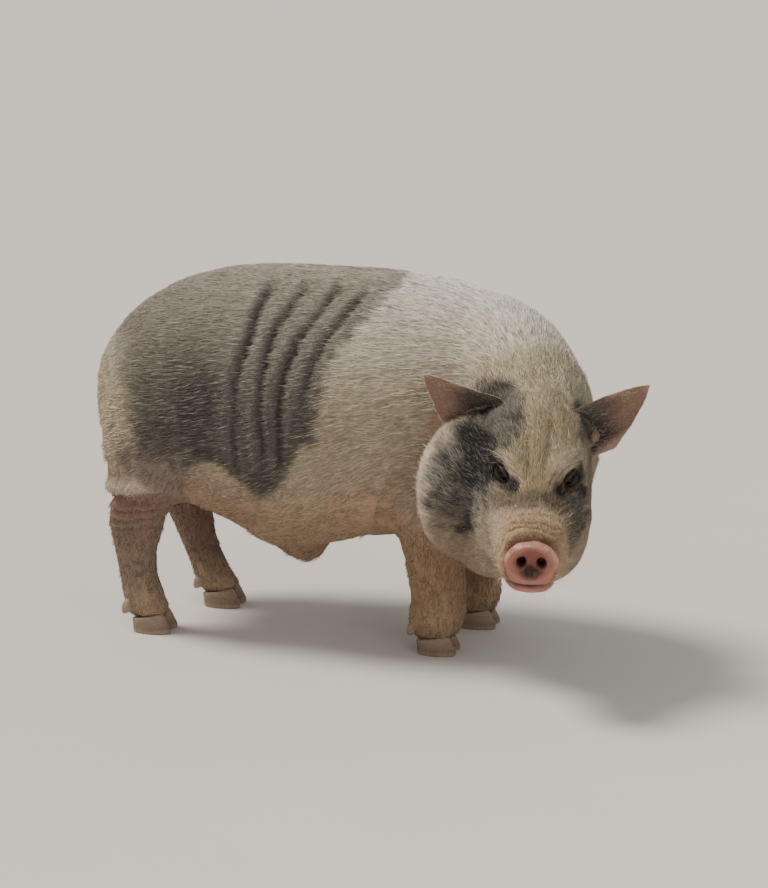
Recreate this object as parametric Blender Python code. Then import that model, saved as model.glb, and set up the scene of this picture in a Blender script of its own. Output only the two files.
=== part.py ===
"""Domestic pig of the pot-bellied kind, life size, standing with its lowered head turned to its right.

X runs forward along the trunk, Y to the animal's left and Z up, with the soles at z = 0.
Lengths are metres. The whole body is formed first, then parted with thin cuts.
"""
import math

import bmesh
import bpy
import numpy as np
from mathutils import Matrix

# Gap left between neighbouring parts, and the grid that the whole body is formed on
GAP = 0.0003
EAR_GAP = 0.0005
CELL = 0.0032

# Trunk stations from rump to chest: x, top, bottom, half width
TRUNK = (
    (-0.314, 0.364, 0.322, 0.015),
    (-0.307, 0.382, 0.270, 0.048),
    (-0.285, 0.418, 0.215, 0.086),
    (-0.246, 0.456, 0.186, 0.124),
    (-0.190, 0.487, 0.176, 0.152),
    (-0.110, 0.507, 0.150, 0.168),
    (-0.040, 0.512, 0.120, 0.174),
    (0.020, 0.513, 0.128, 0.174),
    (0.080, 0.512, 0.145, 0.168),
    (0.140, 0.508, 0.150, 0.158),
    (0.200, 0.499, 0.170, 0.146),
    (0.250, 0.478, 0.195, 0.126),
    (0.285, 0.430, 0.240, 0.092),
    (0.300, 0.370, 0.300, 0.020),
)

# Neck stations: centre x, y, z, then height above, below, half width
NECK = (
    (0.130, 0.000, 0.360, 0.060, 0.060, 0.050),
    (0.150, 0.000, 0.355, 0.135, 0.140, 0.130),
    (0.215, -0.008, 0.345, 0.146, 0.140, 0.134),
    (0.262, -0.036, 0.324, 0.138, 0.134, 0.120),
    (0.294, -0.078, 0.302, 0.124, 0.128, 0.106),
    (0.312, -0.116, 0.284, 0.106, 0.116, 0.094),
    (0.318, -0.140, 0.276, 0.040, 0.040, 0.040),
)

# Head: where its own frame stands and how it is turned; X is the snout's axis, Y left and Z up
HEAD_AT = (0.321, -0.098, 0.258)
HEAD_TURN = math.radians(-80.5)
HEAD_DROP = math.radians(12.0)
HEAD_ROLL = math.radians(2.5)

# Head stations along its own X: x, top, bottom, half width, squareness
SKULL = (
    (-0.050, 0.060, -0.060, 0.050, 2.0),
    (-0.035, 0.110, -0.095, 0.074, 2.0),
    (0.000, 0.140, -0.112, 0.086, 2.2),
    (0.035, 0.146, -0.116, 0.090, 2.4),
    (0.070, 0.136, -0.112, 0.090, 2.4),
    (0.100, 0.114, -0.102, 0.085, 2.4),
    (0.125, 0.086, -0.090, 0.075, 2.4),
    (0.148, 0.065, -0.078, 0.062, 2.3),
    (0.172, 0.052, -0.067, 0.052, 2.2),
    (0.196, 0.043, -0.059, 0.045, 2.2),
    (0.214, 0.035, -0.055, 0.041, 2.2),
    (0.230, 0.028, -0.049, 0.035, 2.2),
    (0.240, 0.014, -0.036, 0.020, 2.2),
)
# How much narrower the head's left side is drawn by the turn of the neck
LEFT_SHARE = 0.80
# Jowls in the head's frame, centre and half sizes; the right one is gathered into the turned neck
JOWLS = (
    ((0.062, 0.028, -0.052), (0.062, 0.042, 0.058)),
    ((0.060, -0.048, -0.050), (0.064, 0.056, 0.062)),
    ((0.050, -0.083, 0.004), (0.060, 0.067, 0.104)),
)
DISC_X = 0.2425
DISC_HALF = (0.0350, 0.0275)
DISC_THICK = 0.0075
NOSTRIL_AT = (0.2480, 0.0125, 0.0015)
NOSTRIL_SIZE = (0.0120, 0.0052, 0.0062)

EYE_AT = (0.1150, 0.0400, 0.0595)
EYE_FACING = (0.80, 0.55, 0.22)
EYE_RADIUS = 0.0125
EYE_SLANT = math.radians(37.0)
LID_HALF = (0.0122, 0.0078)
LID_THICK = 0.0030
LID_LIFT = 0.0012
SLIT_HALF = (0.0062, 0.0108, 0.0048)
SLIT_AHEAD = 0.0135
# Form round each eye in a line sloping up outward: place across the line, half sizes along and
# across it, and height: the socket, the brow above and the pad below
EYE_LINE = math.radians(29.4)
EYE_LINE_AT = (0.0440, 0.0615)
EYE_RELIEF = (
    (0.000, 0.024, 0.015, -0.0058),
    (0.021, 0.030, 0.010, 0.0062),
    (-0.026, 0.028, 0.012, 0.0030),
)
# Crease on each side of the forehead: how far off the middle at a height, its slope, half width, depth
FOREHEAD_CREASE = (0.011, 0.080, 0.10, 0.0042, 0.0026)
# Across the snout: place along the head, slope to the side, half width and height of the cushion,
# of the groove behind the disc and of the crease over the bridge
CUSHION = (0.2060, 0.00, 0.0120, 0.0034)
DISC_GROOVE = (0.2310, 0.00, 0.0034, -0.0030)
BRIDGE_CREASE = (0.1900, 0.12, 0.0032, -0.0022)
# The mouth: height at the front, where its corner lies, half width and depth, then the lips' height
MOUTH_Z = -0.0385
MOUTH_CORNER_X = 0.150
MOUTH_HALF = 0.0036
MOUTH_DEPTH = 0.0062
LIP_STEP = 0.008
LIP_HALF = 0.005
LOWER_LIP = 0.0026
UPPER_LIP = 0.0016

# Ears: root and tip in the head's frame, the left one drawn in by the turn of the neck
EARS = {
    "left": ((0.028, 0.066, 0.094), (0.040, 0.137, 0.159)),
    "right": ((0.028, -0.074, 0.090), (0.040, -0.153, 0.153)),
}
EAR_HALF = 0.044
EAR_THICK = 0.0042
EAR_FACING = (0.88, 0.30, 0.10)
EAR_SUNK = 0.020
# How much fuller each ear is at its root's upper and lower edge, and where along it
EAR_LOBES = {"left": (0.0, 0.0), "right": (0.26, 0.10)}
EAR_LOBE_AT = (0.25, 0.28)
EAR_CUP = (0.032, 0.014)
EAR_CURL = 0.006

# Legs: each station is centre x, y, z, then half length along x and half width along y
LEG_FRONT_RIGHT = (
    (0.165, -0.085, 0.300, 0.060, 0.045),
    (0.170, -0.086, 0.250, 0.066, 0.052),
    (0.178, -0.084, 0.190, 0.054, 0.046),
    (0.183, -0.078, 0.140, 0.042, 0.040),
    (0.187, -0.074, 0.100, 0.039, 0.037),
    (0.190, -0.071, 0.072, 0.038, 0.035),
    (0.186, -0.069, 0.048, 0.039, 0.036),
    (0.184, -0.068, 0.024, 0.030, 0.027),
    (0.184, -0.068, 0.000, 0.024, 0.024),
)
LEG_FRONT_LEFT = (
    (0.165, 0.085, 0.300, 0.060, 0.045),
    (0.172, 0.086, 0.250, 0.066, 0.052),
    (0.186, 0.084, 0.190, 0.054, 0.046),
    (0.202, 0.080, 0.140, 0.045, 0.040),
    (0.209, 0.078, 0.100, 0.041, 0.037),
    (0.212, 0.077, 0.072, 0.038, 0.035),
    (0.211, 0.076, 0.048, 0.039, 0.036),
    (0.212, 0.076, 0.024, 0.029, 0.027),
    (0.212, 0.076, 0.000, 0.024, 0.024),
)
LEG_HIND_RIGHT = (
    (-0.215, -0.080, 0.360, 0.050, 0.040),
    (-0.209, -0.088, 0.300, 0.076, 0.056),
    (-0.212, -0.090, 0.240, 0.064, 0.055),
    (-0.228, -0.086, 0.195, 0.047, 0.044),
    (-0.240, -0.082, 0.150, 0.038, 0.034),
    (-0.241, -0.080, 0.115, 0.030, 0.028),
    (-0.238, -0.078, 0.080, 0.027, 0.026),
    (-0.231, -0.077, 0.050, 0.029, 0.029),
    (-0.224, -0.077, 0.024, 0.028, 0.026),
    (-0.220, -0.077, 0.000, 0.022, 0.022),
)
LEG_HIND_LEFT = (
    (-0.215, 0.080, 0.360, 0.050, 0.040),
    (-0.206, 0.088, 0.300, 0.076, 0.056),
    (-0.206, 0.090, 0.240, 0.065, 0.055),
    (-0.215, 0.086, 0.195, 0.047, 0.044),
    (-0.216, 0.082, 0.150, 0.036, 0.034),
    (-0.206, 0.080, 0.115, 0.029, 0.028),
    (-0.192, 0.078, 0.080, 0.026, 0.026),
    (-0.178, 0.077, 0.050, 0.028, 0.029),
    (-0.168, 0.077, 0.024, 0.027, 0.026),
    (-0.164, 0.077, 0.000, 0.022, 0.022),
)
LEGS = {
    "front_right": LEG_FRONT_RIGHT,
    "front_left": LEG_FRONT_LEFT,
    "hind_right": LEG_HIND_RIGHT,
    "hind_left": LEG_HIND_LEFT,
}

# Hooves: top of the horn, and the form of one main hoof
CORONET_Z = 0.024
HOOF_LENGTH = 0.054
HOOF_WIDTH = 0.0285
HOOF_SPREAD = 0.0158
# Rings of a hoof upward: height, then how far forward it sits, its half length and half width
HOOF_RINGS = (
    (0.0000, 0.0050, 0.49, 0.48),
    (0.0040, 0.0050, 0.50, 0.50),
    (0.0140, 0.0020, 0.45, 0.47),
    (CORONET_Z - GAP, -0.0020, 0.40, 0.43),
)
TOE_BALL = (0.0240, 0.0135, 0.0170)
TOE_Z = 0.027
DEWCLAW_SPREAD = 0.017
DEWCLAW_LEAN = math.radians(35.0)
DEWCLAW_Z = 0.036
DEWCLAW_SIZE = (0.0085, 0.0065, 0.0140)

# Tail: root on the rump, then points down it with radius
TAIL = (
    (-0.268, 0.008, 0.396, 0.0125),
    (-0.298, 0.026, 0.386, 0.0118),
    (-0.312, 0.048, 0.360, 0.0105),
    (-0.314, 0.067, 0.322, 0.0090),
    (-0.311, 0.081, 0.278, 0.0074),
    (-0.309, 0.090, 0.240, 0.0058),
)
SWITCH_LOCKS = 8
SWITCH_LENGTH = 0.080
LOCK_HALF = 0.0062
LOCK_THICK = 0.0016

# Muscles below the skin on the left side: centre and half sizes of shoulder and ham; and the sheath
MUSCLES = (
    ((0.150, 0.088, 0.290), (0.085, 0.066, 0.125)),
    ((-0.206, 0.084, 0.300), (0.078, 0.070, 0.125)),
)
SHEATH = ((-0.016, 0.0, 0.124), (0.034, 0.023, 0.025))

# Where the limbs part from the trunk: centre of a domed post round each limb, its half sizes,
# the height where its dome begins and the height of its top
LIMB_POSTS = {
    "front_right": ((0.174, -0.088), (0.063, 0.068), 0.130, 0.252),
    "front_left": ((0.198, 0.104), (0.068, 0.086), 0.130, 0.262),
    "hind_right": ((-0.228, -0.116), (0.088, 0.106), 0.160, 0.300),
    "hind_left": ((-0.204, 0.116), (0.088, 0.106), 0.160, 0.300),
}

# Thin cuts: a point, the turns of the normal in degrees and half sizes sideways and upward
NECK_CUTS = (
    ((0.178, 0.000, 0.400), (-17.0, -8.0), (0.260, 0.330)),
    ((0.290, -0.066, 0.300), (-48.0, 18.0), (0.240, 0.200)),
)

TARGET_TRIANGLES = 7700
SMALLEST_PART = 2e-4

# Middles of the large parts, by which the pieces of the cut body are told apart
MARKS = {"torso": (-0.04, 0.0, 0.31), "neck": (0.27, -0.03, 0.32), "head": (0.335, -0.16, 0.27)}
LEG_MIDDLE_Z = 0.13

# Flank folds: x of each groove at four heights, its depth and the heights of its foot and top
FOLD_Z = (0.300, 0.360, 0.430, 0.495)
FOLDS = (
    (0.018, 0.022, 0.044, 0.086, 0.0070, 0.330, 0.530),
    (-0.013, -0.012, 0.009, 0.047, 0.0085, 0.240, 0.530),
    (-0.031, -0.036, -0.029, 0.000, 0.0085, 0.245, 0.530),
    (-0.056, -0.057, -0.047, -0.024, 0.0050, 0.250, 0.400),
    (-0.072, -0.073, -0.062, -0.046, 0.0080, 0.245, 0.520),
)
FOLD_HALF = 0.0072
RIDGE_STEP = 0.0128
# Roll of skin behind the ham and the crease below it, measured at ROLL_X, and their slope
ROLL_X = -0.236
ROLL_SLOPE = 0.09
ROLL_Z = 0.215
ROLL_RISE = 0.0055
CREASE_Z = 0.197
CREASE_DEPTH = 0.0070


def smooth_track(keys, values, at):
    """Values between stations: a monotone cubic in each column, its slopes the harmonic mean of
    the slopes on both sides, so that nothing overshoots a station."""
    keys = np.asarray(keys, float)
    values = np.asarray(values, float)
    if values.ndim == 1:
        values = values[:, None]
    step = np.diff(keys)[:, None]
    slope = np.diff(values, axis=0) / step
    left, right = slope[:-1], slope[1:]
    same = left * right > 0
    total = np.where(same, left + right, 1.0)
    inner = np.where(same, 2 * left * right / total, 0.0)
    slopes = np.concatenate([slope[:1], inner, slope[-1:]])
    place = np.clip(np.searchsorted(keys, at, side="right") - 1, 0, len(keys) - 2)
    width = step[place]
    part = (np.asarray(at)[:, None] - keys[place][:, None]) / width
    squared, cubed = part**2, part**3
    return (
        (2 * cubed - 3 * squared + 1) * values[place]
        + (cubed - 2 * squared + part) * width * slopes[place]
        + (3 * squared - 2 * cubed) * values[place + 1]
        + (cubed - squared) * width * slopes[place + 1]
    )


def outward(points, faces):
    """The faces, all turned round where the volume they enclose comes out negative."""
    places = np.asarray(points, float)
    total = 0.0
    for size in {len(face) for face in faces}:
        ring = places[np.array([face for face in faces if len(face) == size])]
        for corner in range(1, size - 1):
            crossed = np.cross(ring[:, corner], ring[:, corner + 1])
            total += np.einsum("ij,ij->i", ring[:, 0], crossed).sum()
    return [tuple(face) for face in faces] if total > 0 else [tuple(face)[::-1] for face in faces]


def tube_faces(rows, around):
    """Faces over rings of equal count, with a fan to one more point at each end."""
    row, column = np.meshgrid(np.arange(rows - 1), np.arange(around), indexing="ij")
    after = (column + 1) % around
    base = row * around
    quads = np.stack([base + column, base + after, base + around + after, base + around + column], -1)
    ring = np.arange(around)
    turn = (ring + 1) % around
    first = rows * around
    last = (rows - 1) * around
    start = np.stack([np.full(around, first), turn, ring], 1)
    stop = np.stack([np.full(around, first + 1), last + ring, last + turn], 1)
    return quads.reshape(-1, 4).tolist() + start.tolist() + stop.tolist()


def in_triangles(faces):
    """Faces of four corners split in two, so that a form and its grown copy bend alike."""
    three = [tuple(face) for face in faces if len(face) == 3]
    four = [face for face in faces if len(face) == 4]
    return three + [(a, b, c) for a, b, c, _ in four] + [(a, c, d) for a, _, c, d in four]


def loft(centre, side, up, wide, high, low, square, around):
    """Closed skin over rings. A point of ring i lies at centre + side * wide * c + up * h * s,
    with c and s the cosine and sine of its angle raised to 2 / square, and h the height above
    for a positive sine and below for a negative one. A point closes each end."""
    rows = len(centre)
    angle = np.linspace(0, 2 * math.pi, around, endpoint=False)
    power = (2.0 / np.broadcast_to(square, rows))[:, None]
    cosine = np.sign(np.cos(angle)) * np.abs(np.cos(angle)) ** power
    sine = np.sign(np.sin(angle)) * np.abs(np.sin(angle)) ** power
    height = np.where(sine > 0, high[:, None], low[:, None])
    rings = (
        centre[:, None]
        + side[:, None] * (wide[:, None] * cosine)[..., None]
        + up[:, None] * (height * sine)[..., None]
    )
    points = np.concatenate([rings.reshape(-1, 3), centre[:1], centre[-1:]])
    return points, outward(points, tube_faces(rows, around))


def unit(rows):
    """Rows scaled to length one."""
    return rows / np.maximum(np.linalg.norm(rows, axis=-1, keepdims=True), 1e-12)


def grown(form, amount=GAP):
    """A closed form with each point moved out along the mean of its faces' directions."""
    points, faces = form
    points = np.asarray(points, float)
    normals = np.zeros_like(points)
    for size in {len(face) for face in faces}:
        index = np.array([face for face in faces if len(face) == size])
        ring = points[index]
        total = np.zeros((len(index), 3))
        for corner in range(1, size - 1):
            total += np.cross(ring[:, corner] - ring[:, 0], ring[:, corner + 1] - ring[:, 0])
        for corner in range(size):
            np.add.at(normals, index[:, corner], unit(total))
    return points + unit(normals) * amount, faces


def along_path(centre, raised=(0.0, 0.0, 1.0)):
    """Side and up directions of rings square to a path: side is raised crossed with the run."""
    run = unit(np.gradient(centre, axis=0))
    side = unit(np.cross(np.asarray(raised, float), run))
    return side, np.cross(run, side)


def head_frame():
    """Columns are the head's own axes: turned about Z, dropped about its Y, rolled about its X."""
    turn = Matrix.Rotation(HEAD_TURN, 3, "Z")
    drop = Matrix.Rotation(HEAD_DROP, 3, "Y")
    roll = Matrix.Rotation(-HEAD_ROLL, 3, "X")
    return np.array(turn @ drop @ roll)


def from_head(points):
    """Points of the head's frame in the body's."""
    return np.asarray(points, float) @ head_frame().T + np.asarray(HEAD_AT)


def to_head(points):
    """Points of the body's frame in the head's."""
    return (np.asarray(points, float) - np.asarray(HEAD_AT)) @ head_frame()


def trunk_form():
    """Egg-shaped rings across x."""
    data = np.array(TRUNK)
    at = np.linspace(data[0, 0], data[-1, 0], 90)
    top, bottom, wide = smooth_track(data[:, 0], data[:, 1:], at).T
    middle = bottom + (top - bottom) * 0.47
    centre = np.stack([at, 0 * at, middle], 1)
    side = np.tile([0.0, 1.0, 0.0], (len(at), 1))
    up = np.tile([0.0, 0.0, 1.0], (len(at), 1))
    return loft(centre, side, up, wide, top - middle, middle - bottom, 2.15, 72)


def neck_form():
    """Rings along the bent neck."""
    data = np.array(NECK)
    keys = np.arange(len(data))
    centre = smooth_track(keys, data, np.linspace(0, keys[-1], 60))
    side, up = along_path(centre[:, :3])
    return loft(centre[:, :3], side, up, centre[:, 5], centre[:, 3], centre[:, 4], 2.1, 64)


def skull_form():
    """Rings across the head's own X, from the nape to the snout."""
    data = np.array(SKULL)
    at = np.linspace(data[0, 0], data[-1, 0], 90)
    top, bottom, wide, square = smooth_track(data[:, 0], data[:, 1:], at).T
    middle = (top + bottom) / 2 - 0.006 * np.clip((0.15 - at) / 0.1, 0, 1)
    centre = np.stack([at, 0 * at, middle], 1)
    side = np.tile([0.0, 1.0, 0.0], (len(at), 1))
    up = np.tile([0.0, 0.0, 1.0], (len(at), 1))
    points, faces = loft(centre, side, up, wide, top - middle, middle - bottom, square, 72)
    drawn = 1 - (1 - LEFT_SHARE) * (1 - ramp(points[:, 0], 0.085, 0.130)) * (points[:, 1] > 0)
    points[:, 1] *= drawn
    return from_head(points), faces


def leg_form(stations):
    """Rings down a leg, level ones."""
    data = np.array(stations)
    keys = np.arange(len(data))
    rows = smooth_track(keys, data, np.linspace(0, keys[-1], 56))
    side = np.tile([1.0, 0.0, 0.0], (len(rows), 1))
    up = np.tile([0.0, 1.0, 0.0], (len(rows), 1))
    return loft(rows[:, :3], side, up, rows[:, 3], rows[:, 4], rows[:, 4], 2.2, 40)


def ball_form(centre, sizes, axes=None, across=32, around=24):
    """Closed ellipsoid."""
    polar = np.linspace(0.02, math.pi - 0.02, around)
    middle = np.stack([-np.cos(polar), 0 * polar, 0 * polar], 1)
    side = np.tile([0.0, 1.0, 0.0], (around, 1))
    up = np.tile([0.0, 0.0, 1.0], (around, 1))
    points, faces = loft(middle, side, up, np.sin(polar), np.sin(polar), np.sin(polar), 2.0, across)
    points = points * np.asarray(sizes, float)
    if axes is not None:
        points = points @ np.asarray(axes).T
    return points + np.asarray(centre, float), faces


def eye_axes():
    """The left eye's facing, long and short directions in the head's frame."""
    facing = unit(np.array(EYE_FACING)[None])[0]
    level = unit(np.cross([0.0, 0.0, 1.0], facing)[None])[0]
    raised = np.cross(facing, level)
    long = level * math.cos(EYE_SLANT) + raised * math.sin(EYE_SLANT)
    return facing, long, np.cross(facing, long)


def slit_form(left):
    """What opens the lids: an egg set before the eyeball, as long and high as the opening."""
    facing, long, short = eye_axes()
    axes = np.stack([facing, long, short], 1)
    points, faces = ball_form(np.array(EYE_AT) + facing * SLIT_AHEAD, SLIT_HALF, axes, 20, 12)
    points = from_head(points * [1.0, 1.0 if left else -1.0, 1.0])
    return points, outward(points, faces)


def lid_form(left):
    """The rim of both lids: a closed tube over the eyeball. Its middle line is an oval with
    pointed corners, lifted onto a ball a little larger than the eye."""
    steps, around = 18, 6
    turn = np.linspace(0, 2 * math.pi, steps, endpoint=False)
    angle = np.linspace(0, 2 * math.pi, around, endpoint=False)
    facing, long, short = eye_axes()
    reach = LID_HALF[0] * np.cos(turn)
    rise = LID_HALF[1] * np.sin(turn) * np.abs(np.sin(turn)) ** 0.25
    ball = EYE_RADIUS + LID_LIFT
    height = np.sqrt(ball**2 - reach**2 - rise**2)
    line = facing * height[:, None] + long * reach[:, None] + short * rise[:, None]
    run = unit(np.roll(line, -1, 0) - np.roll(line, 1, 0))
    out = unit(line)
    side = np.cross(run, out)
    thick = LID_THICK * (0.72 + 0.28 * np.abs(np.sin(turn)))[:, None, None]
    ring = out[:, None] * np.cos(angle)[:, None] + side[:, None] * np.sin(angle)[:, None]
    tube = line[:, None] + thick * ring
    points = (tube.reshape(-1, 3) + np.array(EYE_AT)) * [1.0, 1.0 if left else -1.0, 1.0]
    row, column = np.meshgrid(np.arange(steps), np.arange(around), indexing="ij")
    after = (column + 1) % around
    below = (row + 1) % steps
    faces = np.stack([row * around + column, row * around + after, below * around + after,
                      below * around + column], -1).reshape(-1, 4).tolist()
    points = from_head(points)
    return points, outward(points, faces)


def add_object(name, points, faces):
    """A mesh object from points and faces."""
    mesh = bpy.data.meshes.new(name)
    mesh.from_pydata(np.asarray(points).tolist(), [], faces)
    mesh.update()
    made = bpy.data.objects.new(name, mesh)
    bpy.context.scene.collection.objects.link(made)
    return made


def ear_form(left):
    """A cupped leaf with thickness. Along it the width falls to a sharp tip, across it the leaf
    bends back as the square of the distance from its middle, which makes the cup. Its buried end
    is flat."""
    rows, across = 15, 14
    part = np.linspace(0, 1, rows)
    mirror = np.array([1.0, 1.0 if left else -1.0, 1.0])
    name = "left" if left else "right"
    root, tip = (np.array(place) * mirror for place in EARS[name])
    axis = tip - root
    length = np.linalg.norm(axis)
    axis = axis / length
    facing = np.array(EAR_FACING)
    facing = unit(facing - axis * facing.dot(axis))
    side = np.cross(facing, axis)
    start = root - axis * EAR_SUNK
    spread = EAR_HALF * np.clip(0.55 + 1.9 * part, 0, 1) * (1 - part**1.4) ** 0.80 + 0.0012
    thick = EAR_THICK * (1.5 - 0.95 * part) * np.sqrt(np.clip(1 - part**8, 0, 1)) + 0.0006
    cup = (EAR_CUP[0] + (EAR_CUP[1] - EAR_CUP[0]) * part) * spread / EAR_HALF * ramp(part, 0.0, 0.16)
    curl = EAR_CURL * part**2
    angle = np.linspace(0, 2 * math.pi, across, endpoint=False)
    flat = np.cos(angle)
    deep = np.sin(angle)
    run = start + axis * ((length + EAR_SUNK) * part)[:, None] - facing * curl[:, None]
    lobe = np.where(flat > 0, *EAR_LOBES[name])
    sideways = spread[:, None] * flat * (1 + lobe * bump(part, *EAR_LOBE_AT)[:, None])
    bend = cup[:, None] * (flat**2 - 0.45)
    layer = thick[:, None] * deep * np.sqrt(np.clip(1.15 - flat**2 * 0.85, 0.1, 1))
    points = run[:, None] + side * sideways[..., None] + facing * (bend + layer)[..., None]
    first = points[0].mean(0) - axis * 0.002
    last = points[-1].mean(0) + axis * 0.0015
    points = from_head(np.concatenate([points.reshape(-1, 3), [first], [last]]) * mirror)
    return points, outward(points, in_triangles(tube_faces(rows, across)))


def hoof_place(limb, outer):
    """Floor place and outward sign of one toe."""
    stations = LEGS[limb]
    foot = np.array(stations[-1][:3])
    sign = 1.0 if limb.endswith("left") else -1.0
    shift = HOOF_SPREAD if outer else -HOOF_SPREAD
    return foot + np.array([0.004, sign * shift, 0.0])


def hoof_form(limb, outer):
    """A horn with a flat sole: level half-oval rings, each further back than the one below."""
    place = hoof_place(limb, outer)
    height, forward, length, width = np.array(HOOF_RINGS).T
    around = 16
    angle = np.linspace(0, 2 * math.pi, around, endpoint=False)
    along = np.cos(angle) * (1 - 0.10 * np.cos(angle))
    cross = np.sin(angle) * (1 - 0.22 * np.cos(angle))
    rings = np.stack([
        place[0] + forward[:, None] + (length * HOOF_LENGTH)[:, None] * along,
        place[1] + (width * HOOF_WIDTH)[:, None] * cross,
        np.repeat(height[:, None], around, 1),
    ], -1)
    ends = [(place[0], place[1], height[0]), (place[0], place[1], height[-1])]
    points = np.concatenate([rings.reshape(-1, 3), ends])
    return points, outward(points, tube_faces(len(height), around))


def dewclaw_form(limb, outer):
    """A small horn behind the pastern, pointing down and back."""
    stations = np.array(LEGS[limb])
    sign = 1.0 if limb.endswith("left") else -1.0
    shift = DEWCLAW_SPREAD if outer else -DEWCLAW_SPREAD
    foot = stations[-2]
    centre = (foot[0] - foot[3] * 0.86, foot[1] + sign * shift, DEWCLAW_Z)
    lean = np.array(Matrix.Rotation(DEWCLAW_LEAN, 3, "Y"))
    return ball_form(centre, DEWCLAW_SIZE, lean, 8, 6)


def tail_form():
    """Rings down the tail."""
    data = np.array(TAIL)
    keys = np.arange(len(data))
    rows = smooth_track(keys, data, np.linspace(0, keys[-1], 14))
    side, up = along_path(rows[:, :3], (1.0, 0.0, 0.3))
    radius = rows[:, 3]
    return loft(rows[:, :3], side, up, radius, radius, radius, 2.0, 10)


def lock_form(root, heading, length, half, thick, bend, twist):
    """A flat tapered lock of 6 rings: its run bends sideways with the square of the distance."""
    part = np.linspace(0, 1, 6)
    heading = np.asarray(heading, float) / np.linalg.norm(heading)
    across = unit(np.cross(heading, [math.cos(twist), math.sin(twist), 0.2]))
    out = np.cross(across, heading)
    centre = (
        np.asarray(root, float)
        + heading * (length * part)[:, None]
        + across * (bend[0] * part**2)[:, None]
        + out * (bend[1] * part**2)[:, None]
    )
    wide = half * np.sqrt(np.clip(np.sin(math.pi * (0.12 + 0.86 * part)), 0.02, 1)) * (1 - 0.6 * part)
    side = np.tile(across, (6, 1))
    up = np.tile(out, (6, 1))
    deep = thick * (1 - 0.7 * part)
    return loft(centre, side, up, wide, deep, deep, 2.0, 6)


def joined_object(name, forms):
    """One object from several closed forms."""
    points, faces, base = [], [], 0
    for form_points, form_faces in forms:
        points.append(np.asarray(form_points))
        faces.extend([tuple(index + base for index in face) for face in form_faces])
        base += len(form_points)
    return add_object(name, np.concatenate(points), faces)


def apply_modifiers(target):
    """Replace the mesh with the one that its modifiers give."""
    shown = target.evaluated_get(bpy.context.evaluated_depsgraph_get())
    mesh = bpy.data.meshes.new_from_object(shown)
    old = target.data
    target.modifiers.clear()
    target.data = mesh
    bpy.data.meshes.remove(old)


def read_points(target):
    """Vertex places and vertex normals as arrays."""
    count = len(target.data.vertices)
    places = np.empty(count * 3)
    target.data.vertices.foreach_get("co", places)
    normals = np.empty(count * 3)
    target.data.vertices.foreach_get("normal", normals)
    return places.reshape(-1, 3), normals.reshape(-1, 3)


def write_points(target, places):
    """Put vertex places back."""
    target.data.vertices.foreach_set("co", places.ravel())
    target.data.update()


def relax(target, rounds, strength=0.5, keep=None):
    """Move each point part of the way to the mean of its neighbours, by rounds."""
    places, _ = read_points(target)
    edges = np.empty(len(target.data.edges) * 2, int)
    target.data.edges.foreach_get("vertices", edges)
    edges = edges.reshape(-1, 2)
    count = np.bincount(edges.ravel(), minlength=len(places))[:, None]
    weight = strength if keep is None else strength * (1 - keep)[:, None]
    for _ in range(rounds):
        total = np.zeros_like(places)
        for column in range(3):
            total[:, column] = np.bincount(edges[:, 0], places[edges[:, 1], column], len(places))
            total[:, column] += np.bincount(edges[:, 1], places[edges[:, 0], column], len(places))
        places = places + (total / count - places) * weight
    write_points(target, places)


def ramp(value, low, high):
    """Zero below low, one above high, an eased step between."""
    part = np.clip((value - low) / (high - low), 0, 1)
    return part * part * (3 - 2 * part)


def bump(value, centre, half):
    """A bell of one at centre, with the given half width."""
    return np.exp(-(((value - centre) / half) ** 2))


def body_relief(places):
    """How far each point of the body moves out along its normal: the flank's grooves, each with
    a ridge on either side, the roll of skin behind the ham and the crease below it."""
    x, y, z = places.T
    side = ramp(-y, 0.02, 0.08) + 0.3 * ramp(y, 0.02, 0.09) * ramp(z, 0.38, 0.45)
    side = side + 0.4 * bump(y, 0.0, 0.05)
    moved = np.zeros(len(x))
    for *line, depth, foot, top in FOLDS:
        middle = smooth_track(FOLD_Z, line, np.clip(z, FOLD_Z[0], FOLD_Z[-1]))[:, 0]
        reach = ramp(z, foot, foot + 0.055) * (1 - ramp(z, top - 0.04, top + 0.02)) * side
        ridges = bump(x, middle - RIDGE_STEP, 0.0085) + bump(x, middle + RIDGE_STEP, 0.0085)
        moved += depth * (0.45 * ridges - bump(x, middle, FOLD_HALF)) * reach
    rear = (1 - ramp(x, -0.205, -0.180)) * ramp(np.abs(y), 0.05, 0.09)
    level = z - ROLL_SLOPE * (x - ROLL_X)
    moved += ROLL_RISE * bump(level, ROLL_Z, 0.011) * rear
    return moved - CREASE_DEPTH * bump(level, CREASE_Z, 0.0075) * rear


def snout_band(x, wide, band):
    """A bell across the snout at its place along the head, which the slope carries to the sides."""
    middle, slope, half, height = band
    return height * bump(x + slope * wide, middle, half)


def mouth_relief(x, z):
    """The mouth's groove, which drops behind the front and rises again to its corner, with a lip
    above and below it."""
    line = MOUTH_Z - 0.018 * ramp(0.215 - x, 0.0, 0.05) + 0.012 * ramp(0.180 - x, 0.0, 0.03)
    inside = ramp(x, MOUTH_CORNER_X, MOUTH_CORNER_X + 0.012)
    swell = ramp(x, MOUTH_CORNER_X, MOUTH_CORNER_X + 0.020)
    groove = bump(z, line, MOUTH_HALF) * inside * (1 - ramp(x, 0.238, 0.244))
    lower = bump(z, line - LIP_STEP, LIP_HALF) * swell * (1 - ramp(x, 0.232, 0.242))
    upper = bump(z, line + LIP_STEP, LIP_HALF) * swell * (1 - ramp(x, 0.222, 0.230))
    return LOWER_LIP * lower + UPPER_LIP * upper - MOUTH_DEPTH * groove


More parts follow.
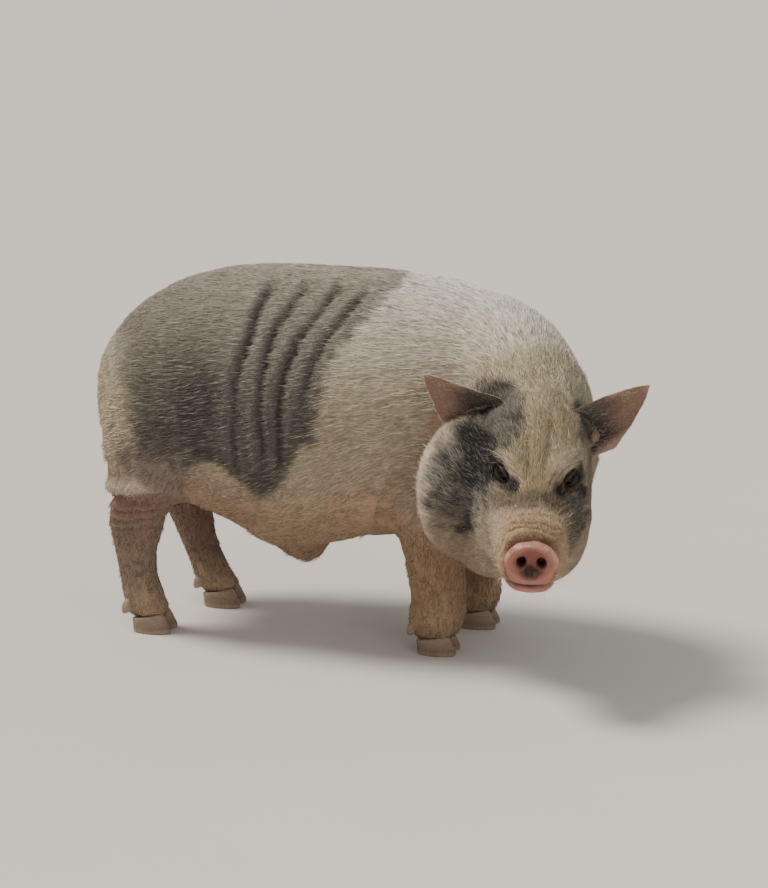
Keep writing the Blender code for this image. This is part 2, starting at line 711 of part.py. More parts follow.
def head_relief(places):
    """How far each point of the head moves out along its normal, worked out in its own frame."""
    local = to_head(places)
    x, y, z = local.T
    wide = np.abs(y)
    # round the eyes, each form a bell along and across the line on which the eye lies
    beside = wide - EYE_LINE_AT[0]
    above = z - EYE_LINE_AT[1]
    along = beside * math.cos(EYE_LINE) + above * math.sin(EYE_LINE)
    across = above * math.cos(EYE_LINE) - beside * math.sin(EYE_LINE)
    facing = ramp(x, 0.085, 0.098)
    moved = np.zeros(len(x))
    for middle, long, short, height in EYE_RELIEF:
        moved += height * bump(along, 0.0, long) * bump(across, middle, short) * facing
    # creases on the forehead
    off, level, slope, half, depth = FOREHEAD_CREASE
    forehead = ramp(x, 0.055, 0.085) * (1 - ramp(wide, 0.020, 0.040)) * ramp(z, 0.055, 0.085)
    moved -= depth * bump(wide, off + slope * (z - level), half) * forehead
    # cushion of the bridge, the groove between it and the disc, and the crease above it
    over = ramp(z, -0.005, 0.018)
    moved += snout_band(x, wide, CUSHION) * over
    moved += snout_band(x, wide, DISC_GROOVE) * (0.35 + 0.65 * over)
    moved += snout_band(x, wide, BRIDGE_CREASE) * ramp(z, 0.020, 0.032)
    moved += mouth_relief(x, z)
    near = np.linalg.norm(local - [0.10, 0, 0], axis=1) < 0.21
    return moved * near


def whole_body():
    """All the flesh as one closed skin: forms joined on a grid, relaxed, then given relief."""
    disc_points, disc_faces = ball_form((DISC_X, 0, 0), (DISC_THICK, *DISC_HALF), None, 48, 28)
    inside = disc_points - [DISC_X, 0, 0]
    shape = np.sign(inside[:, 0]) * np.abs(inside[:, 0] / DISC_THICK) ** 0.45 * DISC_THICK
    disc_points = np.stack([DISC_X + shape, inside[:, 1], inside[:, 2]], 1)
    forms = [trunk_form(), neck_form(), skull_form(), (from_head(disc_points), disc_faces)]
    forms += [leg_form(stations) for stations in LEGS.values()]
    for centre, sizes in JOWLS:
        points, faces = ball_form(centre, sizes)
        forms.append((from_head(points), faces))
    for centre, sizes in MUSCLES:
        for side in (1, -1):
            forms.append(ball_form(np.array(centre) * [1, side, 1], sizes))
    for limb in LEGS:
        for outer in (True, False):
            place = hoof_place(limb, outer)
            forms.append(ball_form((place[0] - 0.002, place[1], TOE_Z), TOE_BALL))
    forms.append(ball_form(*SHEATH))
    body = joined_object("body", forms)
    grid = body.modifiers.new("grid", "REMESH")
    grid.mode = "VOXEL"
    grid.voxel_size = CELL
    grid.adaptivity = 0.0
    apply_modifiers(body)
    places, _ = read_points(body)
    snout = ramp(to_head(places)[:, 0], 0.19, 0.21)
    relax(body, 26, 0.6, np.clip(snout * 0.85, 0, 1))
    places, normals = read_points(body)
    relief = body_relief(places) + head_relief(places)
    write_points(body, places + normals * relief[:, None])
    relax(body, 1, 0.4)
    return body


def post_form(limb, grow):
    """A post with an egg-shaped dome: rings level, their size falling as a quarter of an ellipse."""
    centre, sizes, start, top = LIMB_POSTS[limb]
    dome = np.linspace(0, math.pi / 2 - 0.03, 7)
    height = np.concatenate([[-0.02 - grow], start + (top + grow - start) * np.sin(dome)])
    share = np.concatenate([[1.0], np.cos(dome)])
    rows = len(height)
    middle = np.stack([np.full(rows, centre[0]), np.full(rows, centre[1]), height], 1)
    side = np.tile([1.0, 0.0, 0.0], (rows, 1))
    up = np.tile([0.0, 1.0, 0.0], (rows, 1))
    across = (sizes[1] + grow) * share
    return loft(middle, side, up, (sizes[0] + grow) * share, across, across, 2.3, 22)


def post_shell(limb):
    """Two nested posts the gap apart, the inner one facing inward."""
    outer, faces = post_form(limb, GAP)
    inner, _ = post_form(limb, 0.0)
    count = len(outer)
    turned = [tuple(index + count for index in face)[::-1] for face in faces]
    return np.concatenate([outer, inner]), list(faces) + turned


def box_form(centre, axes, half):
    """Closed box: columns of axes are its directions."""
    signs = np.array([(a, b, c) for a in (-1, 1) for b in (-1, 1) for c in (-1, 1)], float)
    points = np.asarray(centre, float) + (signs * np.asarray(half)) @ np.asarray(axes).T
    faces = [(0, 1, 3, 2), (4, 6, 7, 5), (0, 4, 5, 1), (2, 3, 7, 6), (0, 2, 6, 4), (1, 5, 7, 3)]
    return points, outward(points, faces)


def slab_form(point, angles, half):
    """A box as thin as the gap, its normal turned by two angles in degrees."""
    turn = Matrix.Rotation(math.radians(angles[0]), 3, "Z")
    drop = Matrix.Rotation(math.radians(angles[1]), 3, "Y")
    return box_form(point, np.array(turn @ drop), (GAP / 2, half[0], half[1]))


def eye_place(left):
    """Centre of one eyeball in the head's frame."""
    return np.array(EYE_AT) * [1.0, 1.0 if left else -1.0, 1.0]


def eye_form(left):
    """One eyeball."""
    return ball_form(from_head(eye_place(left)), [EYE_RADIUS] * 3, None, 14, 9)


def cutter_forms(tail):
    """Every tool that parts or hollows the body, each a closed skin."""
    forms = []
    for cut in NECK_CUTS:
        slab = add_object("slab", *slab_form(*cut))
        cut_with(slab, [post_form(limb, GAP / 2) for limb in LIMB_POSTS])
        forms.extend((points, faces) for points, faces, _ in closed_shells(slab))
        bpy.data.objects.remove(slab, do_unlink=True)
    for left in (True, False):
        forms.append(grown(eye_form(left)))
        forms.append(slit_form(left))
        forms.append(grown(ear_form(left), EAR_GAP))
        nostril = np.array(NOSTRIL_AT) * [1, 1 if left else -1, 1]
        lean = np.array(Matrix.Rotation(math.radians(14.0 if left else -14.0), 3, "X"))
        points, faces = ball_form(nostril, NOSTRIL_SIZE, lean, 12, 8)
        forms.append((from_head(points), faces))
    forms.append(grown(tail))
    for limb, stations in LEGS.items():
        forms.append(post_shell(limb))
        foot = stations[-1]
        below = (foot[0], foot[1], CORONET_Z / 2 - 0.03)
        forms.append(box_form(below, np.eye(3), (0.06, 0.06, CORONET_Z / 2 + 0.03)))
        for outer in (True, False):
            forms.append(grown(dewclaw_form(limb, outer)))
    return forms


def cut_with(target, forms, operation="DIFFERENCE"):
    """One Boolean with all the tools in a collection, applied, then the tools removed."""
    tools = bpy.data.collections.new("tools")
    bpy.context.scene.collection.children.link(tools)
    for index, (points, faces) in enumerate(forms):
        tool = add_object("tool_%02d" % index, points, faces)
        bpy.context.scene.collection.objects.unlink(tool)
        tools.objects.link(tool)
        tool.hide_render = True
        tool.display_type = "WIRE"
    step = target.modifiers.new("cut", "BOOLEAN")
    step.operation = operation
    step.operand_type = "COLLECTION"
    step.collection = tools
    step.solver = "EXACT"
    apply_modifiers(target)
    for tool in list(tools.objects):
        bpy.data.objects.remove(tool, do_unlink=True)
    bpy.data.collections.remove(tools)


def thin_out(target, triangles):
    """Collapse the body's grid to a set count, sparing the face, ears' roots and feet."""
    places, _ = read_points(target)
    head = to_head(places)
    face = ramp(head[:, 0], 0.03, 0.12) * (np.abs(head[:, 1]) < 0.12) * (np.abs(head[:, 2]) < 0.16)
    eyes = np.exp(-((np.linalg.norm(head * [1, 0, 1] + np.abs(head) * [0, 1, 0] - EYE_AT, axis=1)
                     / 0.022) ** 2))
    snout = ramp(head[:, 0], 0.20, 0.225) * (np.abs(head[:, 1]) < 0.06) * (np.abs(head[:, 2]) < 0.08)
    folds = ramp(places[:, 0], -0.19, -0.14) * (1 - ramp(places[:, 0], 0.07, 0.10))
    folds = folds * ramp(-places[:, 1], 0.0, 0.04) * ramp(places[:, 2], 0.25, 0.29) * 0.35
    spare = np.clip(0.22 * face + 0.7 * eyes + 0.5 * snout + folds, 0, 1)
    group = target.vertex_groups.new(name="spare")
    levels = np.round(spare * 10).astype(int)
    for level in range(1, 11):
        chosen = np.nonzero(levels == level)[0]
        if len(chosen):
            group.add(chosen.tolist(), level / 10, "REPLACE")
    collapse = target.modifiers.new("thin", "DECIMATE")
    collapse.decimate_type = "COLLAPSE"
    sides = sum(len(face.vertices) - 2 for face in target.data.polygons)
    collapse.ratio = triangles / sides
    collapse.vertex_group = "spare"
    collapse.invert_vertex_group = True
    collapse.vertex_group_factor = 0.25
    apply_modifiers(target)
    target.vertex_groups.clear()


def closed_shells(target):
    """The object's loose shells, each as (points, faces, volume), its largest first."""
    work = bmesh.new()
    work.from_mesh(target.data)
    bmesh.ops.triangulate(work, faces=work.faces)
    work.verts.index_update()
    places = np.array([vertex.co for vertex in work.verts])
    faces = np.array([[vertex.index for vertex in face.verts] for face in work.faces])
    work.free()
    label = np.arange(len(places))
    while True:
        lowest = label[faces].min(1)
        spread = label.copy()
        for column in range(3):
            np.minimum.at(spread, faces[:, column], lowest)
        spread = spread[spread]
        if np.array_equal(spread, label):
            break
        label = spread
    shells = []
    for mark in np.unique(label[faces[:, 0]]):
        chosen = faces[label[faces[:, 0]] == mark]
        used, local = np.unique(chosen, return_inverse=True)
        points = places[used]
        local = local.reshape(-1, 3)
        corner = points[local]
        volume = np.einsum("ij,ij->i", corner[:, 0], np.cross(corner[:, 1], corner[:, 2])).sum() / 6
        shells.append((points, local.tolist(), volume))
    return sorted(shells, key=lambda shell: -shell[2])


def material(name, colour, rough):
    """A plain surface."""
    made = bpy.data.materials.new(name)
    made.use_nodes = True
    surface = made.node_tree.nodes["Principled BSDF"]
    surface.inputs["Base Color"].default_value = (*colour, 1.0)
    surface.inputs["Roughness"].default_value = rough
    return made


def finish_part(name, points, faces, surface):
    """Name a sub-part, give it its material and smooth its curved faces."""
    made = add_object(name, points, faces)
    made.data.materials.append(surface)
    for face in made.data.polygons:
        face.use_smooth = True
    return made


def tail_with_switch():
    """The tail's rings with the locks of its switch fused at the tip."""
    made = joined_object("tail", [tail_form()])
    end = np.array(TAIL[-1][:3])
    above = np.array(TAIL[-2][:3])
    down = unit((end - above)[None])[0]
    chance = np.random.default_rng(7)
    locks = []
    for index in range(SWITCH_LOCKS):
        turn = index * 2.399
        out = np.array([math.cos(turn), math.sin(turn), 0.0])
        root = end - down * (0.006 + 0.026 * index / SWITCH_LOCKS) + out * 0.0022
        heading = down + out * (0.10 + 0.16 * chance.random())
        length = SWITCH_LENGTH * (0.62 + 0.38 * chance.random())
        bend = (0.010 * (chance.random() - 0.5), -0.010 * chance.random())
        locks.append(lock_form(root, heading, length, LOCK_HALF, LOCK_THICK, bend, turn + 0.4))
    cut_with(made, locks, "UNION")
    shell = closed_shells(made)[0]
    bpy.data.objects.remove(made, do_unlink=True)
    return shell[0], shell[1]


def nearest_name(points, marks):
    """The mark whose place lies nearest the middle of the points' box."""
    middle = (points.min(0) + points.max(0)) / 2
    return min(marks, key=lambda name: np.linalg.norm(middle - np.asarray(marks[name])))


def main():
    """Form the body, part it, then add the eyes, ears, tail and horn."""
    for old in list(bpy.data.objects):
        bpy.data.objects.remove(old, do_unlink=True)
    body = whole_body()
    thin_out(body, TARGET_TRIANGLES)
    cut_with(body, [lid_form(True), lid_form(False)], "UNION")
    tail = tail_with_switch()
    cut_with(body, cutter_forms(tail))
    shells = closed_shells(body)
    bpy.data.objects.remove(body, do_unlink=True)
    marks = dict(MARKS)
    for limb, stations in LEGS.items():
        foot = stations[-1]
        marks["leg_" + limb] = (foot[0], foot[1] * 1.15, LEG_MIDDLE_Z)
    pieces = {}
    for points, faces, volume in shells:
        name = nearest_name(points, marks)
        if name not in pieces and volume > SMALLEST_PART:
            pieces[name] = (points, faces)
    white = material("cream skin", (0.72, 0.62, 0.50), 0.7)
    for name, (points, faces) in pieces.items():
        finish_part(name, points, faces, white)
    pink = material("pink skin", (0.70, 0.45, 0.38), 0.6)
    dark = material("dark eye", (0.02, 0.015, 0.012), 0.1)
    horn = material("horn", (0.42, 0.33, 0.25), 0.5)
    for left in (True, False):
        side = "left" if left else "right"
        finish_part("ear_" + side, *ear_form(left), pink)
        finish_part("eye_" + side, *eye_form(left), dark)
    finish_part("tail", *tail, white)
    for limb in LEGS:
        for outer in (True, False):
            which = "outer" if outer else "inner"
            finish_part("hoof_%s_%s" % (limb, which), *hoof_form(limb, outer), horn)
            finish_part("dewclaw_%s_%s" % (limb, which), *dewclaw_form(limb, outer), horn)
    centre_on_floor()


def centre_on_floor():
    """Stand the middle of the whole model's box on the origin."""
    made = list(bpy.context.scene.objects)
    corners = np.concatenate([read_points(each)[0] for each in made])
    middle = (corners.min(0) + corners.max(0)) / 2
    middle[2] = 0.0
    for each in made:
        places, _ = read_points(each)
        write_points(each, places - middle)


main()
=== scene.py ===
"""Looks of a life-size still model of a domestic pig of the pot-bellied kind.

One skin carries the markings, closed bristles lie over it, and eyes and horn are pieces of
their own. Lengths are metres. Shapes are worked out in the maker's frame, where the trunk
begins at x = 0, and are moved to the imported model's frame by HOME.
"""

import itertools
import math

import bmesh
import bpy
import numpy as np
from bpy.props import FloatProperty, FloatVectorProperty, IntProperty, PointerProperty
from mathutils import Matrix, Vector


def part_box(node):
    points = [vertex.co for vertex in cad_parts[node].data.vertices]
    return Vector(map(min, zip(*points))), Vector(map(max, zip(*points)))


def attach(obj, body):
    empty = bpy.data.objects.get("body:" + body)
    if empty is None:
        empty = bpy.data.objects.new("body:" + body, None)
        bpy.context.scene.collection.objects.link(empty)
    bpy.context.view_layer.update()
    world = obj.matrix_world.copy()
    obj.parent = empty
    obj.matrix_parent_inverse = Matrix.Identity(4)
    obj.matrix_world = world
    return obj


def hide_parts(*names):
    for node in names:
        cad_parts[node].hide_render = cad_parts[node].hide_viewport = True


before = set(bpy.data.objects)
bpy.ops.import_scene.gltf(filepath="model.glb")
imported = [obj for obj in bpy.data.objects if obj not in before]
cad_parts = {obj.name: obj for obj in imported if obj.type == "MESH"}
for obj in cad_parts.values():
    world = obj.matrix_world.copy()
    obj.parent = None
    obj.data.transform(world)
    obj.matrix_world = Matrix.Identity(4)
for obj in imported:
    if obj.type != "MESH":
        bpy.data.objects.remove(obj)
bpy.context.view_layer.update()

bl_info = {
    "name": "Domestic pig",
    "version": (1, 0, 0),
    "blender": (4, 5, 0),
    "location": "3D View > Sidebar > Pig",
    "description": "Builds the skin, coat, eyes and horn of a still domestic pig",
    "category": "Add Mesh",
}

# Trunk stations from rump to chest: x, top, bottom, half width
TRUNK = (
    (-0.314, 0.364, 0.322, 0.015),
    (-0.307, 0.382, 0.270, 0.048),
    (-0.285, 0.418, 0.215, 0.086),
    (-0.246, 0.456, 0.186, 0.124),
    (-0.190, 0.487, 0.176, 0.152),
    (-0.110, 0.507, 0.150, 0.168),
    (-0.040, 0.512, 0.120, 0.174),
    (0.020, 0.513, 0.128, 0.174),
    (0.080, 0.512, 0.145, 0.168),
    (0.140, 0.508, 0.150, 0.158),
    (0.200, 0.499, 0.170, 0.146),
    (0.250, 0.478, 0.195, 0.126),
    (0.285, 0.430, 0.240, 0.092),
    (0.300, 0.370, 0.300, 0.020),
)

# Neck stations: centre x, y, z, then height above, below, half width
NECK = (
    (0.130, 0.000, 0.360, 0.060, 0.060, 0.050),
    (0.150, 0.000, 0.355, 0.135, 0.140, 0.130),
    (0.215, -0.008, 0.345, 0.146, 0.140, 0.134),
    (0.262, -0.036, 0.324, 0.138, 0.134, 0.120),
    (0.294, -0.078, 0.302, 0.124, 0.128, 0.106),
    (0.312, -0.116, 0.284, 0.106, 0.116, 0.094),
    (0.318, -0.140, 0.276, 0.040, 0.040, 0.040),
)

# Head: where its own frame stands and how it is turned; X is the snout's axis, Y left and Z up
HEAD_AT = (0.321, -0.098, 0.258)
HEAD_TURN = math.radians(-80.5)
HEAD_DROP = math.radians(12.0)
HEAD_ROLL = math.radians(2.5)

# Head stations along its own X: x, top, bottom, half width, squareness
SKULL = (
    (-0.050, 0.060, -0.060, 0.050, 2.0),
    (-0.035, 0.110, -0.095, 0.074, 2.0),
    (0.000, 0.140, -0.112, 0.086, 2.2),
    (0.035, 0.146, -0.116, 0.090, 2.4),
    (0.070, 0.136, -0.112, 0.090, 2.4),
    (0.100, 0.114, -0.102, 0.085, 2.4),
    (0.125, 0.086, -0.090, 0.075, 2.4),
    (0.148, 0.065, -0.078, 0.062, 2.3),
    (0.172, 0.052, -0.067, 0.052, 2.2),
    (0.196, 0.043, -0.059, 0.045, 2.2),
    (0.214, 0.035, -0.055, 0.041, 2.2),
    (0.230, 0.028, -0.049, 0.035, 2.2),
    (0.240, 0.014, -0.036, 0.020, 2.2),
)
# How much narrower the head's left side is drawn by the turn of the neck
LEFT_SHARE = 0.80
# Jowls in the head's frame, centre and half sizes
JOWLS = (
    ((0.062, 0.028, -0.052), (0.062, 0.042, 0.058)),
    ((0.060, -0.048, -0.050), (0.064, 0.056, 0.062)),
    ((0.050, -0.083, 0.004), (0.060, 0.067, 0.104)),
)
DISC_X = 0.2425
DISC_HALF = (0.0350, 0.0275)
DISC_THICK = 0.0075
NOSTRIL_AT = (0.0125, 0.0015)
NOSTRIL_HALF = (0.0058, 0.0073)

EYE_AT = (0.1150, 0.0400, 0.0595)
EYE_FACING = (0.80, 0.55, 0.22)
EYE_RADIUS = 0.0125
EYE_SLANT = math.radians(37.0)
# The lids: how far round the eyeball their rim reaches sideways, above and below, the ball that the
# skin is laid over, and the half sizes of the ring within which it keeps to that ball
LID_REACH = math.radians(58.0)
LID_RISE = (math.radians(18.0), math.radians(13.0))
LID_BALL = 0.0139
LID_FIELD = (0.0120, 0.0094)

# Ears: root and tip in the head's frame, the left one drawn in by the turn of the neck
EARS = {
    "left": ((0.028, 0.066, 0.094), (0.040, 0.137, 0.159)),
    "right": ((0.028, -0.074, 0.090), (0.040, -0.153, 0.153)),
}
EAR_HALF = 0.044
EAR_THICK = 0.0036
EAR_FACING = (0.88, 0.30, 0.10)
EAR_SUNK = 0.020
# How much fuller each ear is at its root's upper and lower edge, and where along it; and half sizes
# of the swelling that carries it
EAR_LOBES = {"left": (0.0, 0.0), "right": (0.26, 0.10)}
EAR_LOBE_AT = (0.25, 0.28)
EAR_ROOT = (0.015, 0.034, 0.0080)

# Legs: each station is centre x, y, z, then half length along x and half width along y
LEG_FRONT_RIGHT = (
    (0.165, -0.085, 0.300, 0.060, 0.045),
    (0.170, -0.086, 0.250, 0.066, 0.052),
    (0.178, -0.084, 0.190, 0.054, 0.046),
    (0.183, -0.078, 0.140, 0.042, 0.040),
    (0.187, -0.074, 0.100, 0.039, 0.037),
    (0.190, -0.071, 0.072, 0.038, 0.035),
    (0.186, -0.069, 0.048, 0.039, 0.036),
    (0.184, -0.068, 0.024, 0.030, 0.027),
    (0.184, -0.068, 0.000, 0.024, 0.024),
)
LEG_FRONT_LEFT = (
    (0.165, 0.085, 0.300, 0.060, 0.045),
    (0.172, 0.086, 0.250, 0.066, 0.052),
    (0.186, 0.084, 0.190, 0.054, 0.046),
    (0.202, 0.080, 0.140, 0.045, 0.040),
    (0.209, 0.078, 0.100, 0.041, 0.037),
    (0.212, 0.077, 0.072, 0.038, 0.035),
    (0.211, 0.076, 0.048, 0.039, 0.036),
    (0.212, 0.076, 0.024, 0.029, 0.027),
    (0.212, 0.076, 0.000, 0.024, 0.024),
)
LEG_HIND_RIGHT = (
    (-0.215, -0.080, 0.360, 0.050, 0.040),
    (-0.209, -0.088, 0.300, 0.076, 0.056),
    (-0.212, -0.090, 0.240, 0.064, 0.055),
    (-0.228, -0.086, 0.195, 0.047, 0.044),
    (-0.240, -0.082, 0.150, 0.038, 0.034),
    (-0.241, -0.080, 0.115, 0.030, 0.028),
    (-0.238, -0.078, 0.080, 0.027, 0.026),
    (-0.231, -0.077, 0.050, 0.029, 0.029),
    (-0.224, -0.077, 0.024, 0.028, 0.026),
    (-0.220, -0.077, 0.000, 0.022, 0.022),
)
LEG_HIND_LEFT = (
    (-0.215, 0.080, 0.360, 0.050, 0.040),
    (-0.206, 0.088, 0.300, 0.076, 0.056),
    (-0.206, 0.090, 0.240, 0.065, 0.055),
    (-0.215, 0.086, 0.195, 0.047, 0.044),
    (-0.216, 0.082, 0.150, 0.036, 0.034),
    (-0.206, 0.080, 0.115, 0.029, 0.028),
    (-0.192, 0.078, 0.080, 0.026, 0.026),
    (-0.178, 0.077, 0.050, 0.028, 0.029),
    (-0.168, 0.077, 0.024, 0.027, 0.026),
    (-0.164, 0.077, 0.000, 0.022, 0.022),
)
LEGS = {
    "front_right": LEG_FRONT_RIGHT,
    "front_left": LEG_FRONT_LEFT,
    "hind_right": LEG_HIND_RIGHT,
    "hind_left": LEG_HIND_LEFT,
}

CORONET_Z = 0.024
HOOF_LENGTH = 0.054
HOOF_WIDTH = 0.0285
HOOF_SPREAD = 0.0158
TOE_BALL = (0.0235, 0.0130, 0.0135)
TOE_Z = 0.031
DEWCLAW_Z = 0.036
DEWCLAW_SPREAD = 0.017
DEWCLAW_SIZE = (0.0085, 0.0065, 0.0140)

# Muscles below the skin on the left side: centre and half sizes of shoulder and ham; and the sheath
MUSCLES = (
    ((0.150, 0.088, 0.290), (0.085, 0.066, 0.125)),
    ((-0.206, 0.084, 0.300), (0.078, 0.070, 0.125)),
)
SHEATH = ((-0.016, 0.0, 0.124), (0.034, 0.023, 0.025))
# How far the belly's keel deepens at the sheath's tip
SHEATH_TIP = 0.0065

# Tail: root on the rump, then points down it with radius
TAIL = (
    (-0.268, 0.008, 0.396, 0.0125),
    (-0.298, 0.026, 0.386, 0.0118),
    (-0.312, 0.048, 0.360, 0.0105),
    (-0.314, 0.067, 0.322, 0.0090),
    (-0.311, 0.081, 0.278, 0.0074),
    (-0.309, 0.090, 0.240, 0.0058),
)

# Flank folds: x of each groove at four heights, its depth and the heights of its foot and top
FOLD_Z = (0.300, 0.360, 0.430, 0.495)
FOLDS = (
    (0.018, 0.022, 0.044, 0.086, 0.0070, 0.330, 0.530),
    (-0.013, -0.012, 0.009, 0.047, 0.0085, 0.240, 0.530),
    (-0.031, -0.036, -0.029, 0.000, 0.0085, 0.245, 0.530),
    (-0.056, -0.057, -0.047, -0.024, 0.0050, 0.250, 0.400),
    (-0.072, -0.073, -0.062, -0.046, 0.0080, 0.245, 0.520),
)
FOLD_HALF = 0.0062
RIDGE_STEP = 0.0128
# Roll of skin behind the ham and the crease below it, measured at ROLL_X, and their slope
ROLL_X = -0.236
ROLL_SLOPE = 0.09
ROLL_Z = 0.215
ROLL_RISE = 0.0055
CREASE_Z = 0.197
CREASE_DEPTH = 0.0070
# Creases below the ham: height, depth and half width; and of the nape: start and slope
HAM_CREASES = ((0.186, 0.0026, 0.0030), (0.176, 0.0034, 0.0032), (0.163, 0.0022, 0.0028),
               (0.150, 0.0014, 0.0024))
NAPE_CREASES = ((-0.052, -0.9), (-0.072, 0.7))
# Creases of the bridge and of the muzzle's sides: place along the head, depth and half width
BRIDGE_CREASES = ((0.2200, 0.0030, 0.0018), (0.2110, 0.0026, 0.0019), (0.1980, 0.0026, 0.0026),
                  (0.1840, 0.0014, 0.0020), (0.1700, 0.0016, 0.0026))
MUZZLE_CREASES = ((0.2200, 0.0012, 0.0016), (0.2090, 0.0014, 0.0020), (0.1960, 0.0012, 0.0020))

# Front edge of the grey saddle on the right flank, height then x, and its lower edge, x then height
SADDLE_FRONT = ((0.250, 0.026), (0.308, 0.043), (0.342, 0.047), (0.375, 0.056), (0.401, 0.064),
                (0.426, 0.077), (0.451, 0.089), (0.474, 0.107), (0.502, 0.129), (0.520, 0.140))
SADDLE_LOW = ((-0.300, 0.300), (-0.235, 0.262), (-0.215, 0.232), (-0.178, 0.214), (-0.150, 0.232),
              (-0.126, 0.258), (-0.102, 0.266), (-0.073, 0.248), (-0.036, 0.218), (-0.020, 0.230),
              (0.004, 0.256), (0.024, 0.300))
# Rear edge of the saddle, height then x, and how soft it is there
SADDLE_REAR = ((0.280, -0.211, 0.014), (0.340, -0.219, 0.019), (0.390, -0.242, 0.028),
               (0.450, -0.275, 0.040))

# Dark, grey and yellow places of the face, and brownish-grey places of painted shade below the eyes and
# on the muzzle's sides, in the head's frame: centre, reach and strength
FACE_DARK = (
    ((0.066, -0.096, 0.090), 0.017, 0.70),
    ((0.079, -0.084, 0.093), 0.018, 0.92),
    ((0.090, -0.072, 0.088), 0.018, 0.97),
    ((0.100, -0.066, 0.082), 0.016, 0.97),
    ((0.106, -0.072, 0.068), 0.018, 1.00),
    ((0.117, -0.062, 0.062), 0.016, 1.00),
    ((0.132, -0.044, 0.058), 0.014, 0.97),
    ((0.143, -0.033, 0.055), 0.012, 1.00),
    ((0.150, -0.027, 0.050), 0.009, 0.95),
    ((0.117, -0.071, 0.052), 0.016, 0.88),
    ((0.121, -0.073, 0.038), 0.015, 0.66),
    ((0.098, -0.086, 0.050), 0.017, 0.70),
    ((0.127, 0.044, 0.059), 0.015, 0.97),
    ((0.112, 0.056, 0.066), 0.014, 0.97),
    ((0.143, 0.034, 0.055), 0.012, 1.00),
    ((0.151, 0.028, 0.050), 0.009, 0.90),
    ((0.132, 0.060, 0.046), 0.012, 0.85),
    ((0.128, 0.066, 0.030), 0.010, 0.60),
)
FACE_GREY = (
    ((0.020, -0.069, 0.130), 0.019, 0.70),
    ((0.037, -0.046, 0.133), 0.017, 0.85),
    ((0.046, -0.062, 0.124), 0.018, 0.95),
    ((0.064, -0.072, 0.112), 0.020, 0.95),
    ((0.072, -0.036, 0.125), 0.016, 0.85),
    ((0.083, -0.050, 0.113), 0.017, 0.95),
    ((0.094, -0.034, 0.113), 0.015, 0.75),
    ((0.102, -0.052, 0.098), 0.014, 0.85),
    ((0.082, -0.100, 0.060), 0.030, 0.92),
    ((0.090, -0.102, 0.030), 0.032, 0.90),
    ((0.108, -0.088, 0.020), 0.030, 0.90),
    ((0.118, -0.082, 0.002), 0.024, 0.62),
    ((0.098, -0.099, -0.012), 0.028, 0.62),
    ((0.075, -0.054, 0.116), 0.030, 0.85),
    ((0.053, -0.048, 0.128), 0.027, 0.85),
    ((0.094, -0.052, 0.104), 0.024, 0.80),
    ((0.040, 0.070, 0.112), 0.024, 0.80),
    ((0.138, -0.060, 0.036), 0.016, 0.60),
    ((0.032, 0.062, 0.119), 0.020, 0.85),
    ((0.022, 0.074, 0.098), 0.018, 0.75),
    ((0.060, 0.066, 0.104), 0.016, 0.70),
    ((0.080, 0.056, 0.098), 0.013, 0.45),
    ((0.150, 0.052, 0.036), 0.017, 0.70),
    ((0.146, 0.062, 0.012), 0.020, 0.55),
)
# Painted shade, brownish grey, below the eyes and down the muzzle's sides.
FACE_OLIVE_SHADE = (
    ((0.146, -0.056, 0.036), 0.018, 0.80),
    ((0.157, -0.042, 0.042), 0.017, 0.90),
    ((0.166, -0.027, 0.046), 0.016, 0.95),
    ((0.172, -0.010, 0.049), 0.015, 0.95),
    ((0.170, 0.010, 0.050), 0.015, 0.95),
    ((0.166, 0.028, 0.045), 0.016, 0.95),
    ((0.154, 0.043, 0.042), 0.017, 0.90),
    ((0.158, 0.052, 0.020), 0.022, 0.85),
    ((0.166, 0.046, 0.004), 0.027, 0.85),
    ((0.184, 0.040, -0.012), 0.020, 0.55),
    ((0.164, -0.050, -0.012), 0.027, 0.60),
    ((0.150, -0.060, 0.012), 0.018, 0.55),
)
FACE_YELLOW = (
    ((0.049, 0.020, 0.138), 0.032, 0.60),
    ((0.092, 0.007, 0.118), 0.026, 0.75),
    ((0.113, -0.012, 0.096), 0.021, 0.80),
    ((0.130, -0.008, 0.080), 0.020, 0.90),
    ((0.147, -0.002, 0.068), 0.018, 1.00),
    ((0.160, 0.004, 0.057), 0.013, 0.80),
)

# The skin's first grid and how many triangles it is thinned to; how many a piece of coat may have,
# and how large a lock's patch is on the coat's baking map
SKIN_CELL = 0.0030
SKIN_TRIANGLES = 168000
PIECE_TRIANGLES = 195000
PATCH_RADIUS = 0.0015
# Counts of the single hairs
LASHES = 46
WHISKERS = 260
SWITCH_HAIRS = 420
# Plane across the neck, beyond which the head begins: a point on it and its normal
NECK_POINT = (0.290, -0.066, 0.300)
NECK_NORMAL = (0.585, -0.749, -0.309)
# Portions of the skin, as the attribute of its points says
BODY, EAR_LEFT, EAR_RIGHT, TAIL_TUBE, LIDS = range(5)

# Camera: where the maker's origin lies across and ahead of it, its height, its turns, and how many
# of the picture's pixels its focal length is
CAMERA_ACROSS = -0.09
CAMERA_AHEAD = 3.60
CAMERA_Z = 1.057
CAMERA_YAW = math.radians(13.0)
CAMERA_PITCH = math.radians(12.4)
CAMERA_ROLL = math.radians(1.02)
CAMERA_PIXELS = 2650.0
PICTURE_HEIGHT = 888.0
SENSOR_HEIGHT = 36.0
# Lights: where they stand, what they aim at and their colours
LIGHT_AIM = (0.0, 0.0, 0.25)
KEY_AT = (-1.50, -0.10, 2.45)
KEY_COLOUR = (1.0, 0.965, 0.91)
FILL_AT = (2.2, -2.6, 1.3)
FILL_SIZE = 1.2
FILL_COLOUR = (0.95, 0.97, 1.0)
SKY_COLOUR = (0.84, 0.86, 0.88, 1.0)

ALONG_X = (1.0, 0.0, 0.0)
ALONG_Y = (0.0, 1.0, 0.0)
ALONG_Z = (0.0, 0.0, 1.0)


